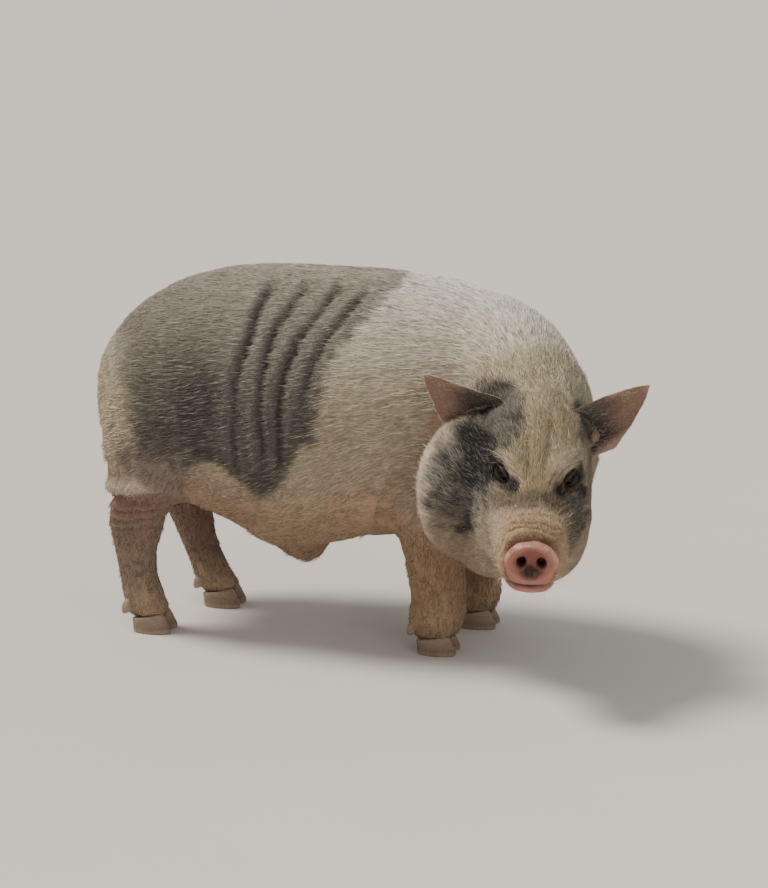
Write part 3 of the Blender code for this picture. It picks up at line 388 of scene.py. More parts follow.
def home_shift():
    """What to take from the maker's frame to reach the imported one: the left eye's two places."""
    low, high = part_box("eye_left")
    return from_head(eye_place(True)) - (np.array(low) + np.array(high)) / 2


def linear(code):
    """An sRGB hex colour as linear red, green and blue."""
    value = int(code.lstrip("#"), 16)
    parts = np.array([(value >> 16) & 255, (value >> 8) & 255, value & 255]) / 255.0
    return tuple(np.where(parts <= 0.04045, parts / 12.92, ((parts + 0.055) / 1.055) ** 2.4))


def smooth_track(keys, values, at):
    """Values between stations: a monotone cubic in each column, its slopes the harmonic mean of
    the slopes on both sides, so that nothing overshoots a station."""
    keys = np.asarray(keys, float)
    values = np.asarray(values, float)
    if values.ndim == 1:
        values = values[:, None]
    step = np.diff(keys)[:, None]
    slope = np.diff(values, axis=0) / step
    left, right = slope[:-1], slope[1:]
    same = left * right > 0
    total = np.where(same, left + right, 1.0)
    inner = np.where(same, 2 * left * right / total, 0.0)
    slopes = np.concatenate([slope[:1], inner, slope[-1:]])
    place = np.clip(np.searchsorted(keys, at, side="right") - 1, 0, len(keys) - 2)
    width = step[place]
    part = (np.asarray(at)[:, None] - keys[place][:, None]) / width
    squared, cubed = part**2, part**3
    return (
        (2 * cubed - 3 * squared + 1) * values[place]
        + (cubed - 2 * squared + part) * width * slopes[place]
        + (3 * squared - 2 * cubed) * values[place + 1]
        + (cubed - squared) * width * slopes[place + 1]
    )


def outward(points, faces):
    """The faces, all turned round where the volume they enclose comes out negative."""
    places = np.asarray(points, float)
    total = 0.0
    for size in {len(face) for face in faces}:
        ring = places[np.array([face for face in faces if len(face) == size])]
        for corner in range(1, size - 1):
            crossed = np.cross(ring[:, corner], ring[:, corner + 1])
            total += np.einsum("ij,ij->i", ring[:, 0], crossed).sum()
    return [tuple(face) for face in faces] if total > 0 else [tuple(face)[::-1] for face in faces]


def ring_quads(rows, around, closed=False):
    """Faces between rings of equal count, and from the last ring to the first if closed."""
    strips = rows if closed else rows - 1
    row, column = np.meshgrid(np.arange(strips), np.arange(around), indexing="ij")
    after = (column + 1) % around
    here, there = row * around, (row + 1) % rows * around
    return np.stack([here + column, here + after, there + after, there + column], -1).reshape(-1, 4)


def tube_faces(rows, around):
    """Faces over rings of equal count, with a fan to one more point at each end."""
    ring = np.arange(around)
    turn = (ring + 1) % around
    first = rows * around
    last = (rows - 1) * around
    start = np.stack([np.full(around, first), turn, ring], 1)
    stop = np.stack([np.full(around, first + 1), last + ring, last + turn], 1)
    return ring_quads(rows, around).tolist() + start.tolist() + stop.tolist()


def loft(centre, side, up, wide, high, low, square, around):
    """Closed skin over rings. A point of ring i lies at centre + side * wide * c + up * h * s,
    with c and s the cosine and sine of its angle raised to 2 / square, and h the height above
    for a positive sine and below for a negative one. A point closes each end."""
    rows = len(centre)
    angle = np.linspace(0, 2 * math.pi, around, endpoint=False)
    power = (2.0 / np.broadcast_to(square, rows))[:, None]
    cosine = np.sign(np.cos(angle)) * np.abs(np.cos(angle)) ** power
    sine = np.sign(np.sin(angle)) * np.abs(np.sin(angle)) ** power
    height = np.where(sine > 0, high[:, None], low[:, None])
    rings = (
        centre[:, None]
        + side[:, None] * (wide[:, None] * cosine)[..., None]
        + up[:, None] * (height * sine)[..., None]
    )
    points = np.concatenate([rings.reshape(-1, 3), centre[:1], centre[-1:]])
    return points, outward(points, tube_faces(rows, around))


def unit(rows):
    """Rows scaled to length one."""
    return rows / np.maximum(np.linalg.norm(rows, axis=-1, keepdims=True), 1e-12)


def steady(count, side, up):
    """The same side and up directions for every ring."""
    return np.tile(side, (count, 1)), np.tile(up, (count, 1))


def evened(stations, rows):
    """Stations taken as evenly spaced and filled in to a number of rows."""
    keys = np.arange(len(stations))
    return smooth_track(keys, stations, np.linspace(0, keys[-1], rows))


def along_path(centre, raised=ALONG_Z):
    """Side and up directions of rings square to a path: side is raised crossed with the run."""
    run = unit(np.gradient(centre, axis=0))
    side = unit(np.cross(np.asarray(raised, float), run))
    return side, np.cross(run, side)


def head_frame():
    """Columns are the head's own axes: turned about Z, dropped about its Y, rolled about its X."""
    turn = Matrix.Rotation(HEAD_TURN, 3, "Z")
    drop = Matrix.Rotation(HEAD_DROP, 3, "Y")
    roll = Matrix.Rotation(-HEAD_ROLL, 3, "X")
    return np.array(turn @ drop @ roll)


def from_head(points):
    """Points of the head's frame in the body's."""
    return np.asarray(points, float) @ head_frame().T + np.asarray(HEAD_AT)


def to_head(points):
    """Points of the body's frame in the head's."""
    return (np.asarray(points, float) - np.asarray(HEAD_AT)) @ head_frame()


def mirror(left):
    """What a place on the left is multiplied by to lie on the given side."""
    return np.array([1.0, 1.0 if left else -1.0, 1.0])


def side_name(left):
    """The side in words."""
    return "left" if left else "right"


def eye_place(left):
    """Centre of one eyeball in the head's frame."""
    return np.array(EYE_AT) * mirror(left)


HOME = home_shift()


def trunk_form():
    """Egg-shaped rings across x."""
    data = np.array(TRUNK)
    at = np.linspace(data[0, 0], data[-1, 0], 90)
    top, bottom, wide = smooth_track(data[:, 0], data[:, 1:], at).T
    middle = bottom + (top - bottom) * 0.47
    centre = np.stack([at, 0 * at, middle], 1)
    side, up = steady(len(at), ALONG_Y, ALONG_Z)
    return loft(centre, side, up, wide, top - middle, middle - bottom, 2.15, 72)


def neck_form():
    """Rings along the bent neck."""
    rows = evened(NECK, 60)
    side, up = along_path(rows[:, :3])
    return loft(rows[:, :3], side, up, rows[:, 5], rows[:, 3], rows[:, 4], 2.1, 64)


def skull_form():
    """Rings across the head's own X, from the nape to the snout."""
    data = np.array(SKULL)
    at = np.linspace(data[0, 0], data[-1, 0], 90)
    top, bottom, wide, square = smooth_track(data[:, 0], data[:, 1:], at).T
    middle = (top + bottom) / 2 - 0.006 * np.clip((0.15 - at) / 0.1, 0, 1)
    centre = np.stack([at, 0 * at, middle], 1)
    side, up = steady(len(at), ALONG_Y, ALONG_Z)
    points, faces = loft(centre, side, up, wide, top - middle, middle - bottom, square, 72)
    drawn = 1 - (1 - LEFT_SHARE) * (1 - ramp(points[:, 0], 0.085, 0.130)) * (points[:, 1] > 0)
    points[:, 1] *= drawn
    return from_head(points), faces


def leg_form(stations):
    """Rings down a leg, level ones, the last of them held inside the hooves."""
    data = np.array(stations)
    data[-1, 2] = CORONET_Z - 0.004
    rows = evened(data, 56)
    side, up = steady(len(rows), ALONG_X, ALONG_Y)
    return loft(rows[:, :3], side, up, rows[:, 3], rows[:, 4], rows[:, 4], 2.2, 40)


def ball_form(centre, sizes, axes=None, across=32, around=24):
    """Closed ellipsoid."""
    polar = np.linspace(0.02, math.pi - 0.02, around)
    middle = np.stack([-np.cos(polar), 0 * polar, 0 * polar], 1)
    side, up = steady(around, ALONG_Y, ALONG_Z)
    points, faces = loft(middle, side, up, np.sin(polar), np.sin(polar), np.sin(polar), 2.0, across)
    points = points * np.asarray(sizes, float)
    if axes is not None:
        points = points @ np.asarray(axes).T
    return points + np.asarray(centre, float), faces


def limb_sign(limb):
    """Which way is outward from the trunk at a leg: one on the left, less one on the right."""
    return 1.0 if limb.endswith("left") else -1.0


def hoof_place(limb, outer):
    """Floor place of one toe."""
    foot = np.array(LEGS[limb][-1][:3])
    shift = HOOF_SPREAD if outer else -HOOF_SPREAD
    return foot + np.array([0.004, limb_sign(limb) * shift, 0.0])


def eye_axes():
    """The left eye's facing, long and short directions in the head's frame."""
    facing = unit(np.array(EYE_FACING)[None])[0]
    level = unit(np.cross([0.0, 0.0, 1.0], facing)[None])[0]
    raised = np.cross(facing, level)
    long = level * math.cos(EYE_SLANT) + raised * math.sin(EYE_SLANT)
    return facing, long, np.cross(facing, long)


def lid_rim(turn):
    """Angles round the eyeball, along and across, of the lids' rim: an almond, each of its sides
    a sine raised to 1.28, and higher above than below."""
    sine = np.sin(turn)
    rise = np.where(sine > 0, LID_RISE[0], LID_RISE[1]) * sine * np.abs(sine) ** 0.28
    return LID_REACH * np.cos(turn), rise


def on_eye(wide, tall):
    """Directions from the eye's centre that lie at two angles from its facing."""
    facing, long, short = eye_axes()
    angle = np.maximum(np.hypot(wide, tall), 1e-6)
    share = np.sin(angle) / angle
    return (
        facing * np.cos(angle)[..., None]
        + long * (share * wide)[..., None]
        + short * (share * tall)[..., None]
    )


def lid_form(left, around=96):
    """Both lids' rims as one closed ring. Its section runs from inside the eyeball over a rounded
    rim, a little above the skin, and back below it; each next row is the rim's almond grown by
    the same angle on all sides. The upper lid is the heavier."""
    section = np.array([
        (0.00, 0.84), (0.00, 0.94), (0.01, 1.01), (0.03, 1.055), (0.07, 1.09), (0.13, 1.112),
        (0.21, 1.122), (0.30, 1.118), (0.40, 1.095), (0.50, 1.05), (0.60, 0.98), (0.70, 0.88),
        (0.40, 0.74), (0.10, 0.72),
    ])
    turn = np.linspace(0, 2 * math.pi, around, endpoint=False)
    reach, rise = lid_rim(turn)
    grow = section[:, 0][:, None]
    wide = reach * (1 + 0.45 * grow) + 0.16 * grow * np.cos(turn)
    tall = rise + np.sin(turn) * grow * 0.75
    heavy = 1.0 + 0.30 * np.clip(np.sin(turn), 0, 1)
    swell = 1 + (section[:, 1][:, None] - 1) * heavy
    points = on_eye(wide, tall) * (EYE_RADIUS * swell)[..., None]
    faces = ring_quads(len(section), around, True).tolist()
    points = points.reshape(-1, 3) + np.array(EYE_AT)
    points = from_head(points * mirror(left))
    return points, outward(points, faces)


def ear_axes(left):
    """Root, axis, side and facing of one ear in the head's frame, all mirrored to the left, and
    its length."""
    root, tip = (np.array(place) * mirror(left) for place in EARS[side_name(left)])
    length = np.linalg.norm(tip - root)
    axis = (tip - root) / length
    facing = np.array(EAR_FACING)
    facing = unit((facing - axis * facing.dot(axis))[None])[0]
    return root, axis, np.cross(facing, axis), facing, length


def ear_root_form(left):
    """A flattened ball that carries the head's skin up into the ear's root."""
    root, axis, side, facing, _ = ear_axes(left)
    points, faces = ball_form((0, 0, 0), EAR_ROOT)
    points = points @ np.stack([axis, side, facing]) + root - axis * 0.005
    points = from_head(points * mirror(left))
    return points, outward(points, faces)


def ear_form(left):
    """A cupped leaf with thickness. Along it the width follows a pointed arch, across it the
    leaf bends back as the square of the distance from its middle, which makes the cup. Two low
    ridges run up the cup, and the rim wanders a little."""
    rows, across = 56, 56
    part = np.linspace(0, 1, rows)
    root, axis, side, facing, length = ear_axes(left)
    start = root - axis * EAR_SUNK
    spread = EAR_HALF * np.clip(0.70 + 1.2 * part, 0, 1) * (1 - part**1.4) ** 0.80 + 0.0008
    spread = spread * (1 + 0.012 * np.sin(part * 23.0 + (1.0 if left else 0.0)))
    thick = EAR_THICK * (1.5 - 1.05 * part) * np.sqrt(np.clip(1 - part**8, 0, 1)) + 0.0005
    cup = (0.014 + 0.018 * (1 - part)) * spread / EAR_HALF
    angle = np.linspace(0, 2 * math.pi, across, endpoint=False)
    flat = np.cos(angle)
    deep = np.sin(angle)
    run = start + axis * ((length + EAR_SUNK) * part)[:, None] - facing * (0.006 * part**2)[:, None]
    bend = cup[:, None] * (flat**2 - 0.45)
    layer = thick[:, None] * deep * np.sqrt(np.clip(1.15 - flat**2 * 0.85, 0.1, 1))
    ridge = 0.0016 * (bump(flat, 0.30, 0.10) + bump(flat, -0.25, 0.12)) * (deep > 0)
    ridge = ridge * (bump(part, 0.35, 0.30))[:, None]
    lobe = np.where(flat > 0, *EAR_LOBES[side_name(left)])
    sideways = spread[:, None] * flat * (1 + lobe * bump(part, *EAR_LOBE_AT)[:, None])
    points = run[:, None] + side * sideways[..., None]
    points = points + facing * (bend + layer + ridge)[..., None]
    first = points[0].mean(0) - axis * 0.002
    last = points[-1].mean(0) + axis * 0.0010
    points = np.concatenate([points.reshape(-1, 3), [first], [last]])
    points = from_head(points * mirror(left))
    return points, outward(points, tube_faces(rows, across))


def tail_form():
    """Rings down the tail."""
    rows = evened(TAIL, 48)
    side, up = along_path(rows[:, :3], (1.0, 0.0, 0.3))
    radius = rows[:, 3] * (1 + 0.02 * np.sin(np.arange(48) * 1.9)) - 0.0006
    return loft(rows[:, :3], side, up, radius, radius, radius, 2.0, 20)


def ramp(value, low, high):
    """Zero below low, one above high, an eased step between."""
    part = np.clip((value - low) / (high - low), 0, 1)
    return part * part * (3 - 2 * part)


def bump(value, centre, half):
    """A bell of one at centre, with the given half width."""
    return np.exp(-(((value - centre) / half) ** 2))


def lattice_noise(places, size, seed):
    """Values from -1 to 1: the eight corner values of a cubic lattice of the given size, mixed
    with eased weights. A corner's value is a mix of its three whole numbers."""
    cell = places / size + seed * 7.31
    base = np.floor(cell).astype(np.int64)
    part = cell - base
    part = part * part * (3 - 2 * part)
    total = np.zeros(len(places))
    for corner in itertools.product((0, 1), repeat=3):
        index = base + corner
        mix = index[:, 0] * 73856093 ^ index[:, 1] * 19349663 ^ index[:, 2] * 83492791 ^ (seed * 977)
        mix = (mix ^ (mix >> 13)) * 1274126177
        value = ((mix ^ (mix >> 16)) & 0xFFFF) / 32767.5 - 1
        weight = np.prod(np.where(np.array(corner) == 1, part, 1 - part), axis=1)
        total += value * weight
    return total


def spots(places, marks):
    """One less the product of (1 - strength * bell of the distance) over the marks."""
    left = np.ones(len(places))
    for centre, reach, strength in marks:
        distance = np.linalg.norm(places - np.array(centre), axis=1)
        left *= 1 - strength * np.exp(-((distance / reach) ** 2))
    return 1 - left


def regions(places, portion):
    """How much each point belongs to the head, the legs, the ears and the tail. The head lies
    beyond a plane across the neck; a leg is what lies near its own stations."""
    x, y, z = places.T
    beyond = (places - NECK_POINT) @ np.array(NECK_NORMAL)
    head = to_head(places)
    near = (np.abs(head[:, 1]) < 0.20) & (head[:, 0] > -0.08) & (np.abs(head[:, 2]) < 0.22)
    legs = np.zeros(len(x))
    for limb, stations in LEGS.items():
        data = np.array(stations)[::-1]
        row = np.stack([np.interp(z, data[:, 2], data[:, column]) for column in (0, 1, 3, 4)])
        share = np.hypot((x - row[0]) / row[2], (y - row[1]) / row[3])
        top = 0.205 if limb.startswith("front") else 0.235
        legs = np.maximum(legs, (1 - ramp(share, 1.25, 1.6)) * (1 - ramp(z, top - 0.04, top + 0.03)))
    headed = ramp(beyond, -0.018, 0.022) * near * (1 - legs) * ramp(x, 0.135, 0.155)
    body = portion == BODY
    return {
        "head": np.where(body, headed, 0.0),
        "legs": np.where(body, legs, 0.0),
        "ear": ((portion == EAR_LEFT) | (portion == EAR_RIGHT)).astype(float),
        "tail": (portion == TAIL_TUBE).astype(float),
        "lid": (portion == LIDS).astype(float),
    }


def flank_folds(places):
    """The flank's folds as three heights: the grooves, the ridges on both sides of each, and how
    far the fine creases beside them reach. A groove is a bell across x whose middle follows its
    line up the flank and wanders a little."""
    x, y, z = places.T
    side = ramp(-y, 0.03, 0.10) + 0.3 * ramp(y, 0.02, 0.09) * ramp(z, 0.38, 0.45)
    side = side * np.clip(0.88 + 0.30 * lattice_noise(places, 0.045, 14), 0.5, 1.2)
    groove, ridge, fine = np.zeros((3, len(x)))
    wander = 0.0026 * lattice_noise(places, 0.026, 4)
    for *line, depth, foot, top in FOLDS:
        middle = smooth_track(FOLD_Z, line, np.clip(z, FOLD_Z[0], FOLD_Z[-1]))[:, 0] + wander
        reach = ramp(z, foot, foot + 0.055) * (1 - ramp(z, top - 0.04, top + 0.02)) * side
        beside = bump(x, middle - RIDGE_STEP, 0.0085) + bump(x, middle + RIDGE_STEP, 0.0085)
        ridge += depth * reach * beside
        groove += depth * reach * bump(x, middle, FOLD_HALF)
        fine += reach * (bump(x, middle - 0.0075, 0.0018) + bump(x, middle + 0.0165, 0.0016))
    return groove, ridge, fine


def sheath_relief(x, y, z):
    """The belly's keel: it deepens towards the sheath's tip and ends there at once."""
    keel = ramp(x, -0.085, -0.014) ** 1.4 * (1 - ramp(x, -0.013, 0.012)) + 1.5 * bump(x, -0.058, 0.020)
    return SHEATH_TIP * keel * bump(y, 0.0, 0.016) * (1 - ramp(z, 0.15, 0.18))


def body_relief(places):
    """How far each point of the body moves out along its normal: the flank's grooves, each with
    a ridge on either side, the roll of skin behind the ham and the crease below it."""
    x, y, z = places.T
    groove, ridge, fine = flank_folds(places)
    moved = 0.36 * ridge - groove - 0.0012 * fine + sheath_relief(x, y, z)
    rear = (1 - ramp(x, -0.205, -0.180)) * ramp(np.abs(y), 0.05, 0.09)
    level = z - ROLL_SLOPE * (x - ROLL_X) + 0.003 * lattice_noise(places, 0.020, 9)
    moved += ROLL_RISE * bump(level, ROLL_Z, 0.011) * rear
    moved -= CREASE_DEPTH * bump(level, CREASE_Z, 0.0060) * rear
    broad = (1 - ramp(x, -0.185, -0.165)) * ramp(np.abs(y), 0.04, 0.08)
    for height, depth, half in HAM_CREASES:
        moved -= depth * bump(level, height, half) * broad
        moved += 0.5 * depth * bump(level, height - 1.9 * half, 1.3 * half) * broad
    nape = to_head(places)
    for start, slope in NAPE_CREASES:
        line = nape[:, 1] - start - slope * (0.020 - nape[:, 0])
        span = bump(nape[:, 0], -0.004, 0.022) * ramp(nape[:, 2], 0.08, 0.11)
        moved -= 0.0045 * bump(line, 0.0, 0.0045) * span
    moved += 0.0010 * lattice_noise(places, 0.040, 5) + 0.0005 * lattice_noise(places, 0.014, 6)
    return moved


def mouth_line(x):
    """Height of the mouth's line along the head, rising to its corner."""
    return -0.0385 - 0.018 * ramp(0.215 - x, 0.0, 0.05) + 0.012 * ramp(0.180 - x, 0.0, 0.03)


def head_relief(places):
    """How far each point of the head moves out along its normal, worked out in its own frame."""
    local = to_head(places)
    x, y, z = local.T
    wide = np.abs(y)
    front = ramp(x, 0.055, 0.085)
    near = (np.linalg.norm(local - [0.10, 0, 0], axis=1) < 0.21).astype(float)
    moved = np.zeros(len(x))
    # socket hollow round each eye, brow above and cheek below
    along = (wide - EYE_AT[1] - 0.004) * 0.87 + (z - EYE_AT[2] - 0.002) * 0.49
    across = -(wide - EYE_AT[1] - 0.004) * 0.49 + (z - EYE_AT[2] - 0.002) * 0.87
    facing = ramp(x, 0.085, 0.098)
    hollow = np.exp(-((along / 0.024) ** 2 + (across / 0.015) ** 2))
    moved -= 0.0058 * hollow * facing
    brow = np.exp(-((along / 0.030) ** 2 + ((across - 0.021) / 0.010) ** 2))
    moved += 0.0062 * brow * facing
    cheek = np.exp(-((along / 0.028) ** 2 + ((across + 0.026) / 0.012) ** 2))
    moved += 0.0030 * cheek * facing
    ring = np.hypot(along / 1.35, across)
    for reach, depth in ((0.0175, 0.0014), (0.0225, 0.0012)):
        moved -= depth * bump(ring, reach, 0.0014) * facing
    # creases over the brow and between the eyes
    forehead = front * (1 - ramp(wide, 0.020, 0.040)) * ramp(z, 0.055, 0.085)
    moved -= 0.0026 * bump(wide, 0.011 + 0.10 * (z - 0.08), 0.0042) * forehead
    # cushion of the bridge, the fold between it and the disc, and wandering creases over it
    over = ramp(z, -0.005, 0.018)
    wander = 0.0034 * lattice_noise(places, 0.012, 12)
    moved += 0.0034 * bump(x, 0.206, 0.012) * over
    moved -= 0.0044 * bump(x + 0.5 * wander, 0.2310, 0.0030) * (0.35 + 0.65 * over)
    moved += 0.0026 * bump(x + wander, 0.2250, 0.0028) * over
    for start, depth, half in BRIDGE_CREASES:
        line = x + 0.12 * wide + wander - start
        moved -= depth * bump(line, 0.0, half) * ramp(z, 0.016, 0.030)
    for start, depth, half in MUZZLE_CREASES:
        line = x - 0.25 * (z + 0.02) + wander - start
        sides = (1 - ramp(z, 0.008, 0.026)) * ramp(z, -0.046, -0.030)
        moved -= depth * bump(line, 0.0, half) * sides
    # the mouth, deepest at its middle
    corner_x = 0.150
    line = mouth_line(x)
    mouth = bump(z, line, 0.0030) * ramp(x, corner_x, corner_x + 0.012) * (1 - ramp(x, 0.238, 0.244))
    moved -= mouth * (0.0040 + 0.0028 * bump(y, 0.0, 0.016))
    lip = bump(z, line - 0.008, 0.005) * ramp(x, corner_x, corner_x + 0.02) * (1 - ramp(x, 0.232, 0.242))
    moved += 0.0028 * lip
    upper = bump(z, line + 0.008, 0.005) * ramp(x, corner_x, corner_x + 0.02)
    upper = upper * (1 - ramp(x, 0.222, 0.23))
    moved += 0.0018 * upper
    moved += 0.0007 * lattice_noise(places, 0.016, 7) + 0.00035 * lattice_noise(places, 0.006, 8)
    return moved * near


def eye_relief(places):
    """Moves of the skin along each eye's facing. Within a ring round the eye the skin lies on a
    ball a little larger than the eyeball, and eases back to its own form outside it. A crease
    runs above the upper lid. Within the rim's almond the skin is sunk into the eyeball."""
    local = to_head(places)
    sides = np.stack([np.ones(len(local)), np.where(local[:, 1] < 0, -1.0, 1.0), np.ones(len(local))], 1)
    offset = local * sides - EYE_AT
    facing, long, short = eye_axes()
    along, across, height = offset @ long, offset @ short, offset @ facing
    flat = np.hypot(along, across)
    near = (height > 0.001) & (np.linalg.norm(offset, axis=1) < 0.045)
    ring = np.hypot(along / LID_FIELD[0], across / LID_FIELD[1])
    ball = np.sqrt(np.maximum(LID_BALL**2 - flat**2, 0.005**2))
    moved = (ball - height) * (1 - ramp(ring, 0.85, 1.70))
    above = ramp(across, 0.000, 0.005)
    moved -= 0.0013 * bump(ring, 1.02, 0.075) * above
    moved += 0.0010 * bump(ring, 1.28, 0.12) * above
    moved -= 0.0007 * bump(ring, 1.22, 0.08) * ramp(-across, 0.000, 0.004)
    angle = np.arcsin(np.clip(flat / EYE_RADIUS, 0, 1))
    wide = angle * along / np.maximum(flat, 1e-6)
    tall = angle * across / np.maximum(flat, 1e-6)
    edge = np.where(tall > 0, LID_RISE[0], LID_RISE[1])
    edge = edge * (1 - np.clip(np.abs(wide) / LID_REACH, 0, 0.9999) ** 2) ** 0.64
    opened = np.abs(tall) / np.maximum(edge, 1e-3)
    opened = np.where((flat > EYE_RADIUS) | (np.abs(wide) > LID_REACH), 9.0, opened)
    sunk = np.sqrt(np.maximum(0.0104**2 - flat**2, 0.003**2)) - height
    moved += (sunk - moved) * (1 - ramp(opened, 1.0, 1.5))
    return ((facing * sides) * (moved * near)[:, None]) @ head_frame().T


def snout_relief(places):
    """Moves along the snout's own axis: a raised ring near the disc's rim, a shallow dish inside
    it, a soft cleft above the lip and two deep nostrils, each a leaning oval."""
    local = to_head(places)
    x, y, z = local.T
    disc = ramp(x, DISC_X - 0.002, DISC_X + 0.004)
    across = np.hypot(y / DISC_HALF[0], z / DISC_HALF[1])
    moved = 0.0030 * bump(across, 0.82, 0.12) * (0.4 + 0.6 * ramp(z, -0.02, 0.015))
    moved -= 0.0022 * (1 - ramp(across, 0.35, 0.70))
    moved -= 0.0016 * bump(y, 0.0, 0.0030) * (1 - ramp(z, -0.020, 0.000))
    moved += 0.0003 * np.sin(np.arctan2(z, y) * 34.0) * bump(across, 0.92, 0.10)
    moved += 0.0006 * lattice_noise(local, 0.006, 21) + 0.0003 * lattice_noise(local, 0.0025, 22)
    lean = math.radians(16.0)
    side = np.abs(y) - NOSTRIL_AT[0]
    over = z - NOSTRIL_AT[1]
    long = over * math.cos(lean) - side * math.sin(lean)
    short = over * math.sin(lean) + side * math.cos(lean)
    hole = np.hypot(short / NOSTRIL_HALF[0], long / NOSTRIL_HALF[1])
    moved += 0.0012 * bump(hole, 1.35, 0.22)
    moved = moved - 0.0125 * (1 - ramp(hole, 0.55, 1.05))
    return moved * disc


def flesh_forms():
    """Trunk, neck, skull, snout disc, legs, jowls, shoulders, hams and toes, as closed skins."""
    disc_points, disc_faces = ball_form((DISC_X, 0, 0), (DISC_THICK, *DISC_HALF), None, 48, 28)
    inside = disc_points - [DISC_X, 0, 0]
    shape = np.sign(inside[:, 0]) * np.abs(inside[:, 0] / DISC_THICK) ** 0.45 * DISC_THICK
    disc_points = np.stack([DISC_X + shape, inside[:, 1], inside[:, 2]], 1)
    forms = [trunk_form(), neck_form(), skull_form(), (from_head(disc_points), disc_faces)]
    forms += [leg_form(stations) for stations in LEGS.values()]
    for centre, sizes in JOWLS:
        points, faces = ball_form(centre, sizes)
        forms.append((from_head(points), faces))
    for centre, sizes in MUSCLES:
        for side in (1, -1):
            forms.append(ball_form(np.array(centre) * [1, side, 1], sizes))
    for limb in LEGS:
        for outer in (True, False):
            place = hoof_place(limb, outer)
            forms.append(ball_form((place[0] - 0.002, place[1], TOE_Z), TOE_BALL))
    forms.append(ball_form(*SHEATH))
    forms += [ear_root_form(True), ear_root_form(False)]
    return forms


def joined_arrays(forms):
    """Points and faces of several closed forms as one, with each point's form number."""
    points, faces, number, base = [], [], [], 0
    for index, (form_points, form_faces) in enumerate(forms):
        points.append(np.asarray(form_points))
        faces.extend([tuple(corner + base for corner in face) for face in form_faces])
        number.append(np.full(len(form_points), index))
        base += len(form_points)
    return np.concatenate(points), faces, np.concatenate(number)


def add_made(name, data):
    """A new object with this data, in the scene."""
    made = bpy.data.objects.new(name, data)
    bpy.context.scene.collection.objects.link(made)
    return made


def add_object(name, points, faces):
    """A mesh object from points and faces."""
    mesh = bpy.data.meshes.new(name)
    mesh.from_pydata(np.asarray(points).tolist(), [], faces)
    mesh.update()
    return add_made(name, mesh)


def add_triangles(name, points, triangles):
    """A mesh object from whole arrays of points and triangles, smooth-shaded."""
    mesh = bpy.data.meshes.new(name)
    mesh.vertices.add(len(points))
    mesh.vertices.foreach_set("co", np.asarray(points, np.float32).ravel())
    mesh.loops.add(len(triangles) * 3)
    mesh.loops.foreach_set("vertex_index", np.asarray(triangles, np.int32).ravel())
    mesh.polygons.add(len(triangles))
    mesh.polygons.foreach_set("loop_start", np.arange(0, len(triangles) * 3, 3, dtype=np.int32))
    mesh.polygons.foreach_set("use_smooth", np.ones(len(triangles), bool))
    mesh.update(calc_edges=True)
    return add_made(name, mesh)


def apply_modifiers(target):
    """Replace the mesh by what its modifiers give."""
    shown = target.evaluated_get(bpy.context.evaluated_depsgraph_get())
    mesh = bpy.data.meshes.new_from_object(shown)
    old = target.data
    target.modifiers.clear()
    target.data = mesh
    bpy.data.meshes.remove(old)


def read_points(mesh):
    """Vertex places and vertex normals as arrays."""
    count = len(mesh.vertices)
    places = np.empty(count * 3)
    mesh.vertices.foreach_get("co", places)
    normals = np.empty(count * 3)
    mesh.vertices.foreach_get("normal", normals)
    return places.reshape(-1, 3), normals.reshape(-1, 3)


def write_points(mesh, places):
    """Put vertex places back."""
    mesh.vertices.foreach_set("co", places.ravel())
    mesh.update()


def relax(mesh, rounds, strength=0.5, keep=None):
    """Move each point part of the way to the mean of its neighbours, by rounds."""
    places, _ = read_points(mesh)
    edges = np.empty(len(mesh.edges) * 2, int)
    mesh.edges.foreach_get("vertices", edges)
    edges = edges.reshape(-1, 2)
    count = np.bincount(edges.ravel(), minlength=len(places))[:, None]
    weight = strength if keep is None else strength * (1 - keep)[:, None]
    for _ in range(rounds):
        total = np.zeros_like(places)
        for column in range(3):
            total[:, column] = np.bincount(edges[:, 0], places[edges[:, 1], column], len(places))
            total[:, column] += np.bincount(edges[:, 1], places[edges[:, 0], column], len(places))
        places = places + (total / count - places) * weight
    write_points(mesh, places)


def refine(target, chosen):
    """Halve the edges of the chosen faces, which cuts each of them in four."""
    work = bmesh.new()
    work.from_mesh(target.data)
    work.faces.ensure_lookup_table()
    edges = {edge for index in chosen for edge in work.faces[int(index)].edges}
    bmesh.ops.subdivide_edges(work, edges=list(edges), cuts=1, use_grid_fill=True)
    work.to_mesh(target.data)
    work.free()


def face_centres(mesh):
    """Middle of every face."""
    centres = np.empty(len(mesh.polygons) * 3)
    mesh.polygons.foreach_get("center", centres)
    return centres.reshape(-1, 3)


def eye_distance(local):
    """Distance to the nearer eye's centre, in the head's frame."""
    return np.linalg.norm(local * [1, 0, 1] + np.abs(local) * [0, 1, 0] - EYE_AT, axis=1)


